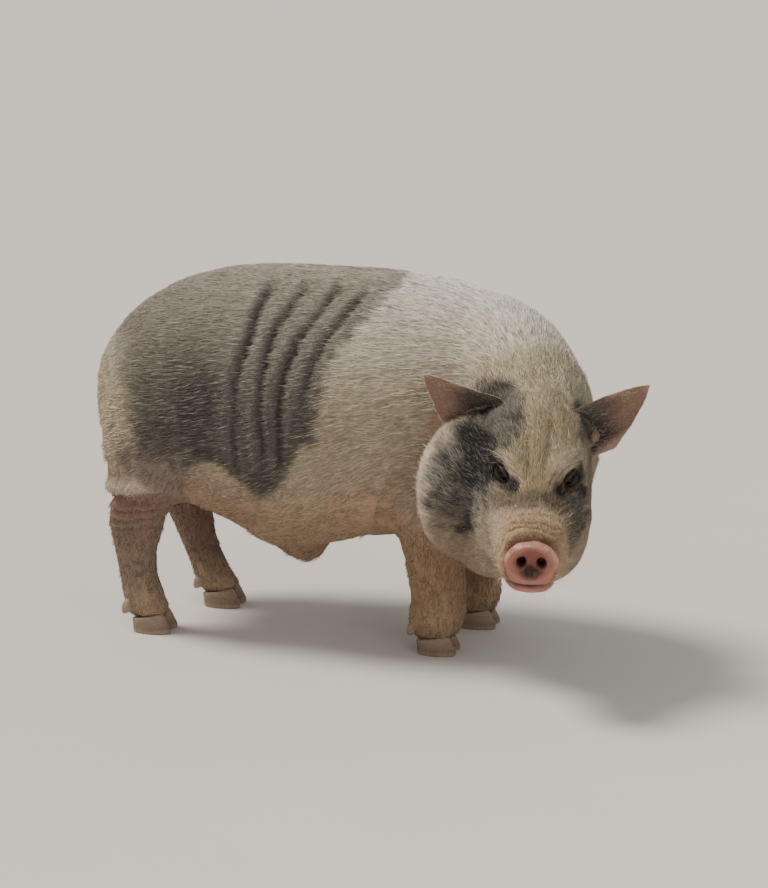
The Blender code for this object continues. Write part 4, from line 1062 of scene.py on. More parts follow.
def thin_out(target, triangles):
    """Collapse the skin's grid to a set count, sparing the face and the folds."""
    places, _ = read_points(target.data)
    local = to_head(places)
    inside = (np.abs(local[:, 1]) < 0.12) & (np.abs(local[:, 2]) < 0.16)
    face = ramp(local[:, 0], 0.05, 0.12) * inside
    eyes = np.exp(-((eye_distance(local) / 0.026) ** 2))
    snout = ramp(local[:, 0], 0.18, 0.21) * inside
    folds = ramp(places[:, 0], -0.12, -0.09) * (1 - ramp(places[:, 0], 0.09, 0.11))
    folds = folds * ramp(-places[:, 1], 0.0, 0.04) * ramp(places[:, 2], 0.25, 0.29) * 0.4
    spare = np.clip(0.35 * face + 0.9 * eyes + 0.8 * snout + folds, 0, 1)
    group = target.vertex_groups.new(name="spare")
    levels = np.round(spare * 10).astype(int)
    for level in range(1, 11):
        chosen = np.nonzero(levels == level)[0]
        if len(chosen):
            group.add(chosen.tolist(), level / 10, "REPLACE")
    collapse = target.modifiers.new("thin", "DECIMATE")
    collapse.decimate_type = "COLLAPSE"
    total = np.empty(len(target.data.polygons), int)
    target.data.polygons.foreach_get("loop_total", total)
    collapse.ratio = min(1.0, triangles / (total - 2).sum())
    collapse.vertex_group = "spare"
    collapse.invert_vertex_group = True
    collapse.vertex_group_factor = 0.6
    apply_modifiers(target)
    target.vertex_groups.clear()


def triangles_of(mesh):
    """The mesh's triangles."""
    mesh.calc_loop_triangles()
    found = np.empty(len(mesh.loop_triangles) * 3, np.int32)
    mesh.loop_triangles.foreach_get("vertices", found)
    return found.reshape(-1, 3)


def body_mesh(depth):
    """The flesh as one closed skin: forms joined on a grid, relaxed, sunk by the coat's depth,
    made finer over the face, then given relief. Returns points and triangles."""
    points, faces, _ = joined_arrays(flesh_forms())
    body = add_object("body", points, faces)
    grid = body.modifiers.new("grid", "REMESH")
    grid.mode = "VOXEL"
    grid.voxel_size = SKIN_CELL
    grid.adaptivity = 0.0
    apply_modifiers(body)
    places, _ = read_points(body.data)
    snout = ramp(to_head(places)[:, 0], 0.19, 0.21)
    relax(body.data, 30, 0.6, np.clip(snout * 0.85, 0, 1))
    local = to_head(face_centres(body.data))
    inside = (np.abs(local[:, 1]) < 0.12) & (np.abs(local[:, 2]) < 0.13)
    refine(body, np.nonzero((local[:, 0] > 0.095) & inside)[0])
    local = to_head(face_centres(body.data))
    inside = (np.abs(local[:, 1]) < 0.06) & (np.abs(local[:, 2]) < 0.08)
    refine(body, np.nonzero((local[:, 0] > 0.188) & inside | (eye_distance(local) < 0.028))[0])
    places, _ = read_points(body.data)
    fine = ramp(to_head(places)[:, 0], 0.09, 0.11) * (np.abs(to_head(places)[:, 1]) < 0.13)
    relax(body.data, 3, 0.5, 1 - fine)
    places, normals = read_points(body.data)
    local = to_head(places)
    zone = regions(places, np.zeros(len(places), int))
    relief = body_relief(places) * (1 - zone["head"]) + head_relief(places)
    sunk = depth * (1 - 0.45 * zone["head"] - 0.45 * zone["legs"])
    sunk = sunk * (1 - 0.9 * ramp(local[:, 0], 0.20, 0.235) * zone["head"])
    places = places + normals * (relief - sunk)[:, None]
    snouted = snout_relief(places) * zone["head"]
    places = places + head_frame()[:, 0] * snouted[:, None]
    write_points(body.data, places)
    relax(body.data, 1, 0.3)
    places, _ = read_points(body.data)
    write_points(body.data, places + eye_relief(places))
    thin_out(body, SKIN_TRIANGLES)
    places, _ = read_points(body.data)
    triangles = triangles_of(body.data)
    bpy.data.objects.remove(body, do_unlink=True)
    return places, triangles


def as_triangles(faces):
    """Faces of three or four corners as triangles."""
    three = [face for face in faces if len(face) == 3]
    four = np.array([face for face in faces if len(face) == 4])
    split = np.concatenate([four[:, [0, 1, 2]], four[:, [0, 2, 3]]])
    return np.concatenate([np.array(three).reshape(-1, 3), split]).astype(np.int32)


def mixed(base, colour, amount):
    """Rows of base moved towards one colour by an amount each."""
    return base + (np.asarray(colour) - base) * np.clip(amount, 0, 1)[:, None]


def along_ear(local, side):
    """How far along an ear a place of the head's frame lies: nothing at its root, one at its tip."""
    root, tip = (np.array(place) for place in EARS[side])
    axis = tip - root
    return ((local - root) @ axis) / (axis @ axis)


def body_marks(coat, zone, noise, hide):
    """Colours of trunk, neck and legs, laid over the cream: paler towards the top of the back as
    painted light, pink-brown, nearly bare and a little darkened as painted shade below, the grey
    saddle with painted light on its top, at the rump's rear and on its folds' ridges and painted
    shade low down and in its grooves, dusky hind legs, painted shade in the creases below the ham,
    and dusty feet."""
    x, y, z = coat["places"].T
    cloud, patchy, _, wander = noise
    trunk = (1 - zone["head"]) * (1 - zone["legs"])
    mark = coat["mark"]
    # Paler towards the top of the back, in bristles and skin: painted light.
    mark(None, "#f3ebdb", 0.85 * ramp(z, 0.32, 0.49))
    mark("#c3a78e", None, 0.60 * ramp(z, 0.36, 0.50))
    # Below: the belly's thinly haired pink-brown skin, set a little darker than its own tone as painted
    # shade.
    under = 1 - ramp(z + 0.5 * wander - 0.03 * ramp(x, 0.03, 0.12), 0.170, 0.262)
    mark(hide.belly_skin, "#ae967b", under)
    groin = (1 - ramp(z + 0.3 * wander, 0.20, 0.27)) * (1 - ramp(x, -0.110, -0.040)) * trunk
    groin = groin * (1 - 0.85 * ramp(np.abs(y), 0.055, 0.085) * (1 - ramp(x, -0.190, -0.150)))
    mark("#8c6151", None, 0.75 * groin)
    # grey saddle
    front = np.array(SADDLE_FRONT)
    edge = np.interp(z, front[:, 0], front[:, 1]) - 0.020 * ramp(y, 0.0, 0.10)
    foot = np.array(SADDLE_LOW)
    low = np.interp(x, foot[:, 0], foot[:, 1]) + 0.020 * ramp(y, 0.0, 0.10)
    back = np.array(SADDLE_REAR)
    rear = np.interp(z, back[:, 0], back[:, 1])
    soft = np.interp(z, back[:, 0], back[:, 2])
    grey = ramp(edge - x + 0.7 * wander, -0.006, 0.010) * ramp(z - low + 0.5 * wander, -0.004, 0.008)
    grey = grey * ramp((x - rear + 0.6 * wander) / soft, -1.0, 1.0) * trunk
    height = ramp(z, 0.27, 0.47)
    mark(hide.grey_skin, hide.grey_hair, grey * (0.90 + 0.10 * patchy))
    # Lighter towards the saddle's top and darker low down: painted light and painted shade, together
    # with the darker, thinner-haired skin low on the flank.
    mark("#756b62", "#b0a594", 0.90 * grey * ramp(z, 0.35, 0.49))
    mark(None, "#5b534c", 0.66 * grey * (1 - height))
    # A darker patch low on the middle of the flank: painted shade.
    mark(None, "#46403b", 0.55 * grey * bump(z, 0.350, 0.050) * bump(x, -0.110, 0.065))
    # Paler towards the rump's rear edge: partly its cream-grey bristles, partly painted light.
    rump = 0.75 * grey * (1 - ramp(x + 0.5 * wander, -0.275, -0.205)) * ramp(z, 0.30, 0.36)
    mark("#8f8273", "#c0b4a0", rump)
    dusky = 0.55 * grey * (1 - ramp(x + 0.9 * wander, -0.235, -0.120)) * (1 - 0.5 * ramp(z, 0.30, 0.40))
    mark("#6f6355", "#94887a", dusky)
    mark(None, "#8b8172", 0.45 * grey * ramp(patchy + 0.6 * cloud, 0.05, 0.7) * ramp(z, 0.34, 0.42))
    groove, ridge, _ = flank_folds(coat["places"])
    # Painted shade in the flank's grooves and painted light on the ridges beside them.
    mark("#443d39", "#57504a", 0.70 * grey * np.clip(groove / 0.0075, 0, 1))
    mark("#756b63", "#b0a698", 0.50 * grey * np.clip(ridge / 0.0080, 0, 1) * (0.35 + 0.65 * height))
    # pale roll of skin behind the ham, and painted shade in the creases below it
    level = z - ROLL_SLOPE * (x - ROLL_X)
    behind = (1 - ramp(x + 0.4 * wander, -0.212, -0.194)) * ramp(-y, 0.04, 0.09)
    roll = bump(level + 0.3 * wander, ROLL_Z + 0.003, 0.0125) * behind
    # legs and the smooth mauve skin of the ham above them
    legs = zone["legs"]
    hind = legs * (x < 0)
    mark("#9c7a61", "#ad9377", legs)
    mark("#806558", "#9c8673", hind)
    mark("#85705f", "#94826f", 0.85 * hind * (1 - ramp(z + 0.5 * wander, 0.110, 0.190)))
    inward = ramp(y * np.where(y > 0, -1, 1), -0.075, -0.05)
    mark("#7b4f3e", None, 0.55 * hind * ramp(z, 0.15, 0.20) * inward)
    # Painted shade along each crease below the ham.
    for crease, _, half in HAM_CREASES:
        fold = bump(level + 0.4 * wander, crease, 1.1 * half) * (1 - ramp(x, -0.20, -0.175))
        fold = fold * ramp(z, 0.13, 0.16)
        mark("#6d4b3e", None, 0.45 * fold * (0.6 + 0.5 * patchy))
    mark("#a98e70", "#b9a384", 0.75 * legs * (1 - ramp(z + 0.6 * wander, 0.035, 0.080)))
    ham = ramp(z + 0.6 * wander, 0.190, 0.212) * (1 - ramp(z + 0.4 * wander, 0.262, 0.290))
    ham = ham * ramp(x + 0.3 * wander, -0.252, -0.236)
    ham = ham * (1 - ramp(x - 0.35 * (z - 0.20), -0.172, -0.150))
    ham = ham * ramp(-y, 0.04, 0.09)
    mark("#7f6d64", "#8f8278", 0.85 * ham * (1 - 0.6 * roll))
    mark("#cdb59f", "#e2d6c2", 0.88 * roll)
    # Painted shade in the crease below the roll.
    mark("#6f4a3d", "#80644f", 0.80 * bump(level, CREASE_Z, 0.0050) * behind)
    return grey, np.maximum(groin, 0.8 * ham), under * trunk


def head_marks(coat, zone, noise, hide):
    """Colours of the head: a base a little darkened as painted shade, cream crown paler at its top
    partly as painted light, yellow bridge, grey and nearly black patches round the eyes and below the
    ears, brownish-grey painted shade below the eyes, pink jowls paler on the outer side partly as
    painted light, tan muzzle, a dark fold of painted shade before the pink snout, a painted highlight
    on the snout's upper rim and painted shade in its dish, pink lips, dark lids, and nostrils and
    mouth line darkened as painted shade."""
    local = coat["local"]
    x, y, z = local.T
    cloud, patchy, speck, wander = noise
    mark = coat["mark"]
    head = zone["head"]
    # The head's base tone, a little darker than the trunk's cream, is partly painted shade; paler
    # towards the crown is partly the cream crown, partly painted light.
    mark("#a98470", "#c2b093", head)
    mark("#b39378", "#d6c9ab", head * ramp(z, 0.04, 0.11))
    jowl = head * (1 - ramp(z, -0.04, 0.07)) * (1 - ramp(x, 0.09, 0.15))
    mark("#ba9382", "#c6b09a", 0.85 * jowl)
    # Paler on the outer side of the right jowl: partly its pale fuzz, partly painted light.
    outer = head * ramp(-y, 0.095, 0.125) * (1 - ramp(x, 0.080, 0.110))
    mark("#c9a795", "#e0cdb8", 0.85 * outer)
    mark("#7f6549", "#a89468", head * spots(local, FACE_YELLOW) * (0.85 + 0.3 * patchy))
    moved = local + (0.006 * cloud + 0.005 * patchy + 0.004 * speck)[:, None]
    muzzled = 1 - ramp(x, 0.178, 0.192)
    # Brownish-grey painted shade below the eyes and down the muzzle's sides.
    olive_shade = head * ramp(spots(moved, FACE_OLIVE_SHADE) + 0.08 * patchy, 0.30, 0.90)
    mark("#5c4a36", "#786a51", 0.88 * olive_shade)
    grey = head * ramp(spots(moved, FACE_GREY) + 0.16 * patchy + 0.20 * speck, 0.18, 0.66) * muzzled
    mark("#4b443e", "#7c7469", 0.90 * grey)
    mark("#332e2b", "#332f2c", 0.72 * grey * ramp(0.6 * patchy + speck, 0.02, 0.38))
    dark = head * ramp(spots(moved, FACE_DARK) + 0.06 * speck, 0.25, 0.85) * muzzled
    mark(hide.face_dark, "#443d38", 0.97 * dark)
    mark(None, "#262120", 0.85 * dark * ramp(dark, 0.50, 1.0))
    socket = np.exp(-((eye_distance(local) / 0.0165) ** 6)) * head
    mark("#1a1411", "#241d1a", 0.97 * socket)
    mark("#1c1512", None, 0.95 * zone["lid"])
    muzzle = head * ramp(x + 0.3 * wander, 0.180, 0.197)
    mark("#a98468", "#cdb38d", muzzle)
    wrinkle = 0.75 * head * bump(x + 0.3 * wander, 0.2275, 0.0030) * ramp(z, -0.01, 0.02)
    mark("#84614a", "#a98c66", wrinkle)
    across = np.hypot(y / DISC_HALF[0], z / DISC_HALF[1])
    disc = head * ramp(x, 0.2325, 0.2365)
    # A dark line in the fold between the muzzle's cushion and the disc: painted shade.
    mark("#74453a", None, 0.80 * head * bump(x, 0.2305, 0.0028))
    mark(hide.snout_pink, None, disc)
    # A pale band along the upper part of the disc's raised rim: painted highlight.
    rim = bump(across, 0.93, 0.075) * ramp(z + 0.12 * np.abs(y), -0.006, 0.014)
    mark("#d09a88", None, 0.80 * disc * rim)
    # Darker towards the middle of the disc, over its sunken dish: painted shade.
    mark("#7d4339", None, 0.88 * disc * (1 - ramp(across + 0.08 * patchy, 0.50, 0.88)))
    mark("#a5695c", None, 0.50 * disc * ramp(speck, 0.1, 0.6))
    mark("#a4675f", None, 0.70 * disc * (1 - ramp(z, -0.026, -0.012)))
    soil = np.exp(-((y / 0.0125) ** 2 + ((z + 0.0120) / 0.0120) ** 2) ** 1.5)
    soil = disc * np.clip(soil * (1.15 + 0.6 * speck), 0, 1)
    mark("#2b1913", None, 0.96 * soil)
    dusty = ramp(patchy + 0.7 * speck, 0.15, 0.85) * ramp(across, 0.3, 0.7)
    mark("#8b6450", None, 0.50 * disc * dusty)
    side = np.abs(y) - NOSTRIL_AT[0]
    over = z - NOSTRIL_AT[1]
    hole = np.hypot(side / NOSTRIL_HALF[0], over / NOSTRIL_HALF[1])
    # Dark red-brown round the nostrils and nearly black within them: painted shade in the holes.
    mark("#5a2f29", None, 0.85 * disc * (1 - ramp(hole, 0.95, 1.55)))
    mark("#1c0c0a", None, disc * (1 - ramp(hole, 0.60, 1.05)))
    line = mouth_line(x)
    lip = head * bump(z, line - 0.008, 0.0085) * ramp(x, 0.186, 0.208)
    mark("#a96c66", None, 0.90 * lip)
    # A dark line along the mouth where the lips meet: painted shade.
    gap = head * bump(z, line, 0.0030) * ramp(x, 0.150, 0.165) * (0.45 + 0.55 * bump(y, 0.0, 0.012))
    mark("#33170f", None, 0.92 * gap)
    return disc, np.clip(lip + gap, 0, 1), soil


def ear_marks(coat, zone, noise):
    """Colours of ears and tail. A cup is pinkish brown, darkened a little as painted shade, with a pale
    rim and upper edge that are partly painted light, and painted shade darkest at its root inside;
    its front edge and back are haired, grey towards the root."""
    local = coat["local"]
    portion = coat["portion"]
    _, patchy, speck, wander = noise
    mark = coat["mark"]
    ear = zone["ear"]
    part = np.where(portion == EAR_RIGHT, along_ear(local, "right"), along_ear(local, "left"))
    facing = to_head(coat["places"] + coat["normals"])[:, 0] - local[:, 0]
    inner = ear * ramp(facing, -0.05, 0.30)
    rise = np.zeros(len(part))
    for number, left in ((EAR_LEFT, True), (EAR_RIGHT, False)):
        root, _, side, _, _ = ear_axes(left)
        offset = (local * mirror(left) - root) @ side
        rise = np.where(portion == number, offset * np.sign(side[2]), rise)
    mark("#ac8b78", "#c9b8a3", ear)
    # The ear's inside: pinkish-brown, less haired skin, a little darkened as painted shade.
    mark("#836353", None, 0.92 * inner * (1 - ramp(part, 0.85, 1.05)))
    mark("#785747", None, 0.50 * inner * ramp(patchy + 0.5 * speck, 0.0, 0.6))
    # Nearly black deep in the cup towards its root: painted shade.
    mark("#332520", None, 0.92 * inner * (1 - ramp(part + 3 * wander, 0.06, 0.46)))
    # Pale rim and upper edge: partly their pale hair, partly painted light.
    rimmed = ear * ramp(np.abs(rise), 0.026, 0.036) * (1 - ramp(part, 0.75, 1.0))
    mark("#cfae9d", "#ddcdbb", 0.65 * rimmed)
    mark("#d6b3a3", "#e2d3c0", 0.7 * ear * ramp(rise, 0.012, 0.026) * ramp(part, 0.35, 0.7))
    smoky = ear * (1 - ramp(part + 6 * wander, 0.34, 0.72)) * ramp(rise, -0.014, 0.010)
    mark("#453e3a", "#5f5750", 0.88 * smoky * np.where(portion == EAR_RIGHT, 1.0, 0.80))
    mark("#b39079", "#cdbca0", zone["tail"])
    return inner


def markings(places, normals, portion):
    """Colour of the skin, colour of the bristles, and how moist and how bare each point is.
    Edges and patches are set in place, and noise of three sizes makes them wander."""
    scene = bpy.context.scene
    hide = scene.pig_hide
    count = len(places)
    layers = {
        "skin": np.tile(np.array(hide.cream_skin), (count, 1)),
        "hair": np.tile(np.array(hide.cream_hair), (count, 1)),
    }

    def mark(skin, hair, amount):
        for name, colour in (("skin", skin), ("hair", hair)):
            if colour is not None:
                tone = linear(colour) if isinstance(colour, str) else colour
                layers[name] = mixed(layers[name], tone, amount)

    zone = regions(places, portion)
    cloud = lattice_noise(places, 0.055, 31)
    patchy = lattice_noise(places, 0.020, 32)
    speck = lattice_noise(places, 0.0075, 33)
    noise = (cloud, patchy, speck, 0.010 * cloud + 0.007 * patchy + 0.004 * speck)
    coat = {"places": places, "normals": normals, "portion": portion, "local": to_head(places),
            "mark": mark}
    grey, groin, under = body_marks(coat, zone, noise, hide)
    disc, lip, soil = head_marks(coat, zone, noise, hide)
    inner = ear_marks(coat, zone, noise)
    shade = 1 + 0.06 * cloud + 0.05 * patchy + 0.05 * speck
    moist = np.clip(disc - 0.9 * soil + 0.8 * lip + zone["lid"], 0, 1)
    bare = np.clip(disc + 0.95 * lip + 0.65 * inner + zone["lid"], 0, 1)
    bare = np.maximum(bare, np.maximum(0.88 * groin, 0.70 * under * (1 - 0.6 * grey)))
    bare = np.maximum(bare, 0.45 * zone["legs"])
    return (np.clip(layers["skin"] * shade[:, None], 0, 1), np.clip(layers["hair"], 0, 1), moist, bare)


def lie_of_coat(places, normals, portion):
    """The way the bristles lie: back along the trunk and a little down, from the snout back over
    the head, down the legs, out along the ears and down the tail; always in the skin's surface."""
    zone = regions(places, portion)
    local = to_head(places)
    x, _, z = places.T
    axes = head_frame()
    body = np.stack([-np.ones(len(x)), 0 * x, -0.10 - 0.30 * (1 - ramp(z, 0.22, 0.42))], 1)
    neck = ramp(x, 0.17, 0.27)[:, None] * np.array([0.35, 0.75, 0.0])
    body = body + neck
    over = np.stack([
        -np.ones(len(x)),
        local[:, 1] * 4.5,
        0.30 * ramp(local[:, 2], -0.02, 0.05) - 0.35 * (1 - ramp(local[:, 2], -0.07, 0.0)),
    ], 1) @ axes.T
    down = np.stack([-0.12 * np.ones(len(x)), 0 * x, -np.ones(len(x))], 1)
    lie = body * (1 - zone["head"] - zone["legs"])[:, None]
    lie = lie + over * zone["head"][:, None] + down * zone["legs"][:, None]
    for number, side in ((EAR_LEFT, "left"), (EAR_RIGHT, "right")):
        axis = np.array(EARS[side][1]) - np.array(EARS[side][0])
        lie = np.where((portion == number)[:, None], axis @ axes.T, lie)
    lie = np.where((portion == TAIL_TUBE)[:, None], np.array([-0.05, 0.45, -0.85]), lie)
    lie = lie - normals * np.einsum("ij,ij->i", lie, normals)[:, None]
    weak = np.linalg.norm(lie, axis=1) < 0.05
    lie[weak] = np.cross(normals[weak], [0.0, 1.0, 0.1])
    return unit(lie)


def grain_of(places, portion):
    """Coordinates for drawn bristles, in metres, their first number running with the coat."""
    zone = regions(places, portion)
    local = to_head(places)
    x, y, z = places.T
    body = np.stack([x, z + 0.2 * y, y], 1)
    head = np.stack([local[:, 0], local[:, 1], local[:, 2]], 1) + [1.0, 0.4, 0.2]
    legs = np.stack([z, x, y], 1) + [2.0, 0.1, 0.3]
    return (
        body * (1 - zone["head"] - zone["legs"])[:, None]
        + head * zone["head"][:, None]
        + legs * zone["legs"][:, None]
    )


def add_colour(mesh, name, rows):
    """A colour attribute on the points."""
    layer = mesh.color_attributes.new(name=name, type="FLOAT_COLOR", domain="POINT")
    values = np.concatenate([rows, np.ones((len(rows), 1))], 1).astype(np.float32)
    layer.data.foreach_set("color", values.ravel())


def add_value(mesh, name, values):
    """A number on each point."""
    layer = mesh.attributes.new(name=name, type="FLOAT", domain="POINT")
    layer.data.foreach_set("value", np.asarray(values, np.float32))


def add_vector(mesh, name, rows):
    """A vector on each point."""
    layer = mesh.attributes.new(name=name, type="FLOAT_VECTOR", domain="POINT")
    layer.data.foreach_set("vector", np.asarray(rows, np.float32).ravel())


def add_node(tree, kind, settings=(), links=()):
    """One node: its settings by socket or property, and the outputs linked to its sockets."""
    node = tree.nodes.new(kind)
    for name, value in dict(settings).items():
        if isinstance(name, int) or name in node.inputs:
            node.inputs[name].default_value = value
        else:
            setattr(node, name, value)
    for socket, source in dict(links).items():
        tree.links.new(source, node.inputs[socket])
    return node


def new_material(name, rough=0.5, ior=1.45):
    """A Principled material with its own roughness and refraction, and its tree and shader."""
    made = bpy.data.materials.new(name)
    made.use_nodes = True
    surface = made.node_tree.nodes["Principled BSDF"]
    surface.inputs["Roughness"].default_value = rough
    surface.inputs["IOR"].default_value = ior
    return made, made.node_tree, surface


def attribute_of(tree, name, output="Fac"):
    """What a named attribute of the mesh gives."""
    return add_node(tree, "ShaderNodeAttribute", {"attribute_name": name}).outputs[output]


def own_place(tree):
    """Places in the object's own frame."""
    return add_node(tree, "ShaderNodeTexCoord").outputs["Object"]


def noise_at(tree, place, scale, detail, rough=0.5):
    """Noise at a place."""
    settings = {"Scale": scale, "Detail": detail, "Roughness": rough}
    return add_node(tree, "ShaderNodeTexNoise", settings, {"Vector": place}).outputs["Fac"]


def drawn_out(tree, place, scale):
    """Noise drawn out by a scale of its own along each axis."""
    moved = add_node(tree, "ShaderNodeMapping", {"Scale": scale}, {"Vector": place})
    return noise_at(tree, moved.outputs[0], 1.0, 2.0)


def spanned(tree, value, low, high, first=0.0, last=1.0):
    """A value from first to last, mapped to one from low to high."""
    settings = {"From Min": first, "From Max": last, "To Min": low, "To Max": high}
    return add_node(tree, "ShaderNodeMapRange", settings, {"Value": value}).outputs[0]


def worked_out(tree, operation, settings, links):
    """The result of one piece of arithmetic."""
    return add_node(tree, "ShaderNodeMath", {"operation": operation, **settings}, links).outputs[0]


def colour_between(tree, value, stops):
    """A value as a colour between stops, each a position and an sRGB hex colour."""
    node = add_node(tree, "ShaderNodeValToRGB", {}, {"Fac": value})
    elements = node.color_ramp.elements
    for index, (position, code) in enumerate(stops):
        stop = elements[index] if index < 2 else elements.new(position)
        stop.position, stop.color = position, (*linear(code), 1)
    return node.outputs[0]


def set_colour(tree, surface, colour, shade):
    """Give the surface a colour scaled by a shade."""
    tinted = add_node(tree, "ShaderNodeVectorMath", {"operation": "SCALE"}, {0: colour, "Scale": shade})
    tree.links.new(tinted.outputs[0], surface.inputs["Base Color"])


def set_bumps(tree, surface, bumps):
    """Give the surface bumps, one over another, each a height, a strength and a distance."""
    normal = {}
    for height, strength, distance in bumps:
        settings = {"Strength": strength, "Distance": distance}
        node = add_node(tree, "ShaderNodeBump", settings, {"Height": height, **normal})
        normal = {"Normal": node.outputs[0]}
    tree.links.new(normal["Normal"], surface.inputs["Normal"])


def pig_skin_material():
    """Living pig skin: dull and finely creased, moist and smoother on snout, lips and lids.
    Creases are 3 to 6 mm apart, pores about 1.5 mm, and bristles are drawn 1.2 mm wide."""
    made, tree, surface = new_material("pig skin", 0.7, 1.40)
    colour = attribute_of(tree, "hide", "Color")
    moist, bare = attribute_of(tree, "moist"), attribute_of(tree, "bare")
    place = own_place(tree)
    streak = drawn_out(tree, attribute_of(tree, "grain", "Vector"), (55.0, 820.0, 820.0))
    crease = noise_at(tree, place, 230.0, 4.0, 0.6)
    pores = add_node(tree, "ShaderNodeTexVoronoi", {"Scale": 640.0}, {"Vector": place})
    haired = worked_out(tree, "SUBTRACT", {0: 1.0}, {1: bare})
    streaked = spanned(tree, streak, 0.74, 1.22, 0.35, 0.68)
    softened = add_node(tree, "ShaderNodeMix", {"data_type": "FLOAT", 2: 1.0}, {0: haired, 3: streaked})
    mottle = spanned(tree, crease, 0.88, 1.10, 0.3, 0.7)
    shade = worked_out(tree, "MULTIPLY", {}, {0: softened.outputs[0], 1: mottle})
    set_colour(tree, surface, colour, shade)
    tree.links.new(spanned(tree, moist, 0.74, 0.44), surface.inputs["Roughness"])
    hairy = worked_out(tree, "MULTIPLY", {}, {0: streak, 1: haired})
    set_bumps(tree, surface, (
        (crease, 0.35, 0.0014), (pores.outputs["Distance"], 0.25, 0.0005), (hairy, 0.5, 0.0012),
    ))
    surface.inputs["Subsurface Weight"].default_value = 0.06
    surface.inputs["Subsurface Radius"].default_value = (0.010, 0.004, 0.002)
    surface.inputs["Subsurface Scale"].default_value = 0.5
    return made


def bristle_material():
    """Pig bristle: coarse keratin hair, satin, each lock its own tone from root to tip."""
    made, tree, surface = new_material("pig bristle", 0.55, 1.55)
    dusty = noise_at(tree, own_place(tree), 95.0, 3.0)
    shade = spanned(tree, dusty, 0.90, 1.10, 0.3, 0.7)
    set_colour(tree, surface, attribute_of(tree, "tint", "Color"), shade)
    surface.inputs["Specular IOR Level"].default_value = 0.35
    return made


def joined_skin():
    """All the flesh as one object: body, then the ears, tail and lids rooted in it, with each
    point's portion, markings and grain as attributes."""
    depth = bpy.context.scene.pig_coat.depth
    places, triangles = body_mesh(depth)
    parts = [(places, triangles)]
    for form in (ear_form(True), ear_form(False), tail_form(), lid_form(True), lid_form(False)):
        parts.append((np.asarray(form[0]), as_triangles(form[1])))
    numbers = (BODY, EAR_LEFT, EAR_RIGHT, TAIL_TUBE, LIDS, LIDS)
    portion = np.concatenate([np.full(len(part[0]), number) for part, number in zip(parts, numbers)])
    base = np.cumsum([0] + [len(part[0]) for part in parts[:-1]])
    every = np.concatenate([part[1] + start for part, start in zip(parts, base)])
    points = np.concatenate([part[0] for part in parts])
    made = add_triangles("skin", points - HOME, every)
    _, normals = read_points(made.data)
    skin, _, moist, bare = markings(points, normals, portion)
    add_colour(made.data, "hide", skin)
    add_value(made.data, "moist", moist)
    add_value(made.data, "bare", bare)
    add_value(made.data, "portion", portion)
    add_vector(made.data, "grain", grain_of(points, portion))
    return made


class NearSkin:
    """A grid of whole cells that each hold the number of a skin point near them."""

    def __init__(self, places, cell=0.004, spread=4):
        self.cell = cell
        self.low = places.min(0) - cell * (spread + 2)
        shape = np.ceil((places.max(0) + cell * (spread + 2) - self.low) / cell).astype(int) + 1
        self.table = np.full(shape, -1, np.int32)
        index = self.whole(places)
        self.table[index[:, 0], index[:, 1], index[:, 2]] = np.arange(len(places))
        for _ in range(spread):
            for axis, step in itertools.product(range(3), (1, -1)):
                moved = np.roll(self.table, step, axis)
                self.table = np.where(self.table < 0, moved, self.table)

    def whole(self, places):
        """Cell numbers of places."""
        return np.floor((places - self.low) / self.cell).astype(int)

    def nearest(self, places):
        """A skin point's number for each place, or -1 away from the skin."""
        index = np.clip(self.whole(places), 0, np.array(self.table.shape) - 1)
        return self.table[index[:, 0], index[:, 1], index[:, 2]]


def skin_arrays():
    """The built skin's points in the maker's frame, its normals, triangles and portions."""
    mesh = bpy.data.objects["skin"].data
    places, normals = read_points(mesh)
    portion = np.empty(len(places), np.float32)
    mesh.attributes["portion"].data.foreach_get("value", portion)
    return places + HOME, normals, triangles_of(mesh), np.round(portion).astype(int)


def atlas_place(places, portion):
    """Where a root lies on an unwrap of the skin: the trunk's cylinder on the left of the sheet,
    the head's at the lower right, the four legs' above it, ears and tail in the corner."""
    x, y, z = places.T
    local = to_head(places)
    zone = regions(places, portion)
    angle = np.arctan2(y, 0.31 - z) / (2 * math.pi) + 0.5
    u = 0.01 + 0.59 * angle
    v = 0.01 + 0.98 * np.clip((x + 0.34) / 0.72, 0, 1)
    head_angle = np.arctan2(local[:, 1], -local[:, 2]) / (2 * math.pi) + 0.5
    head = zone["head"] > 0.5
    u = np.where(head, 0.62 + 0.37 * head_angle, u)
    v = np.where(head, 0.01 + 0.46 * np.clip((local[:, 0] + 0.08) / 0.34, 0, 1), v)
    leg = zone["legs"] > 0.5
    for index, stations in enumerate(LEGS.values()):
        foot = stations[-1]
        mine = leg & ((x > 0) == (foot[0] > 0)) & ((y > 0) == (foot[1] > 0))
        turn = np.arctan2(y - foot[1], x - foot[0]) / (2 * math.pi) + 0.5
        u = np.where(mine, 0.62 + 0.09 * index + 0.085 * turn, u)
        v = np.where(mine, 0.49 + 0.34 * np.clip(z / 0.26, 0, 1), v)
    for number, start in ((EAR_LEFT, 0.62), (EAR_RIGHT, 0.75)):
        mine = portion == number
        u = np.where(mine, start + 0.12 * np.clip((local[:, 0] + 0.03) / 0.12, 0, 1), u)
        v = np.where(mine, 0.85 + 0.14 * np.clip((local[:, 2] - 0.06) / 0.13, 0, 1), v)
    mine = portion == TAIL_TUBE
    u = np.where(mine, 0.89 + 0.10 * np.clip((y + 0.02) / 0.13, 0, 1), u)
    v = np.where(mine, 0.85 + 0.14 * np.clip((z - 0.20) / 0.22, 0, 1), v)
    return np.stack([u, v], 1)


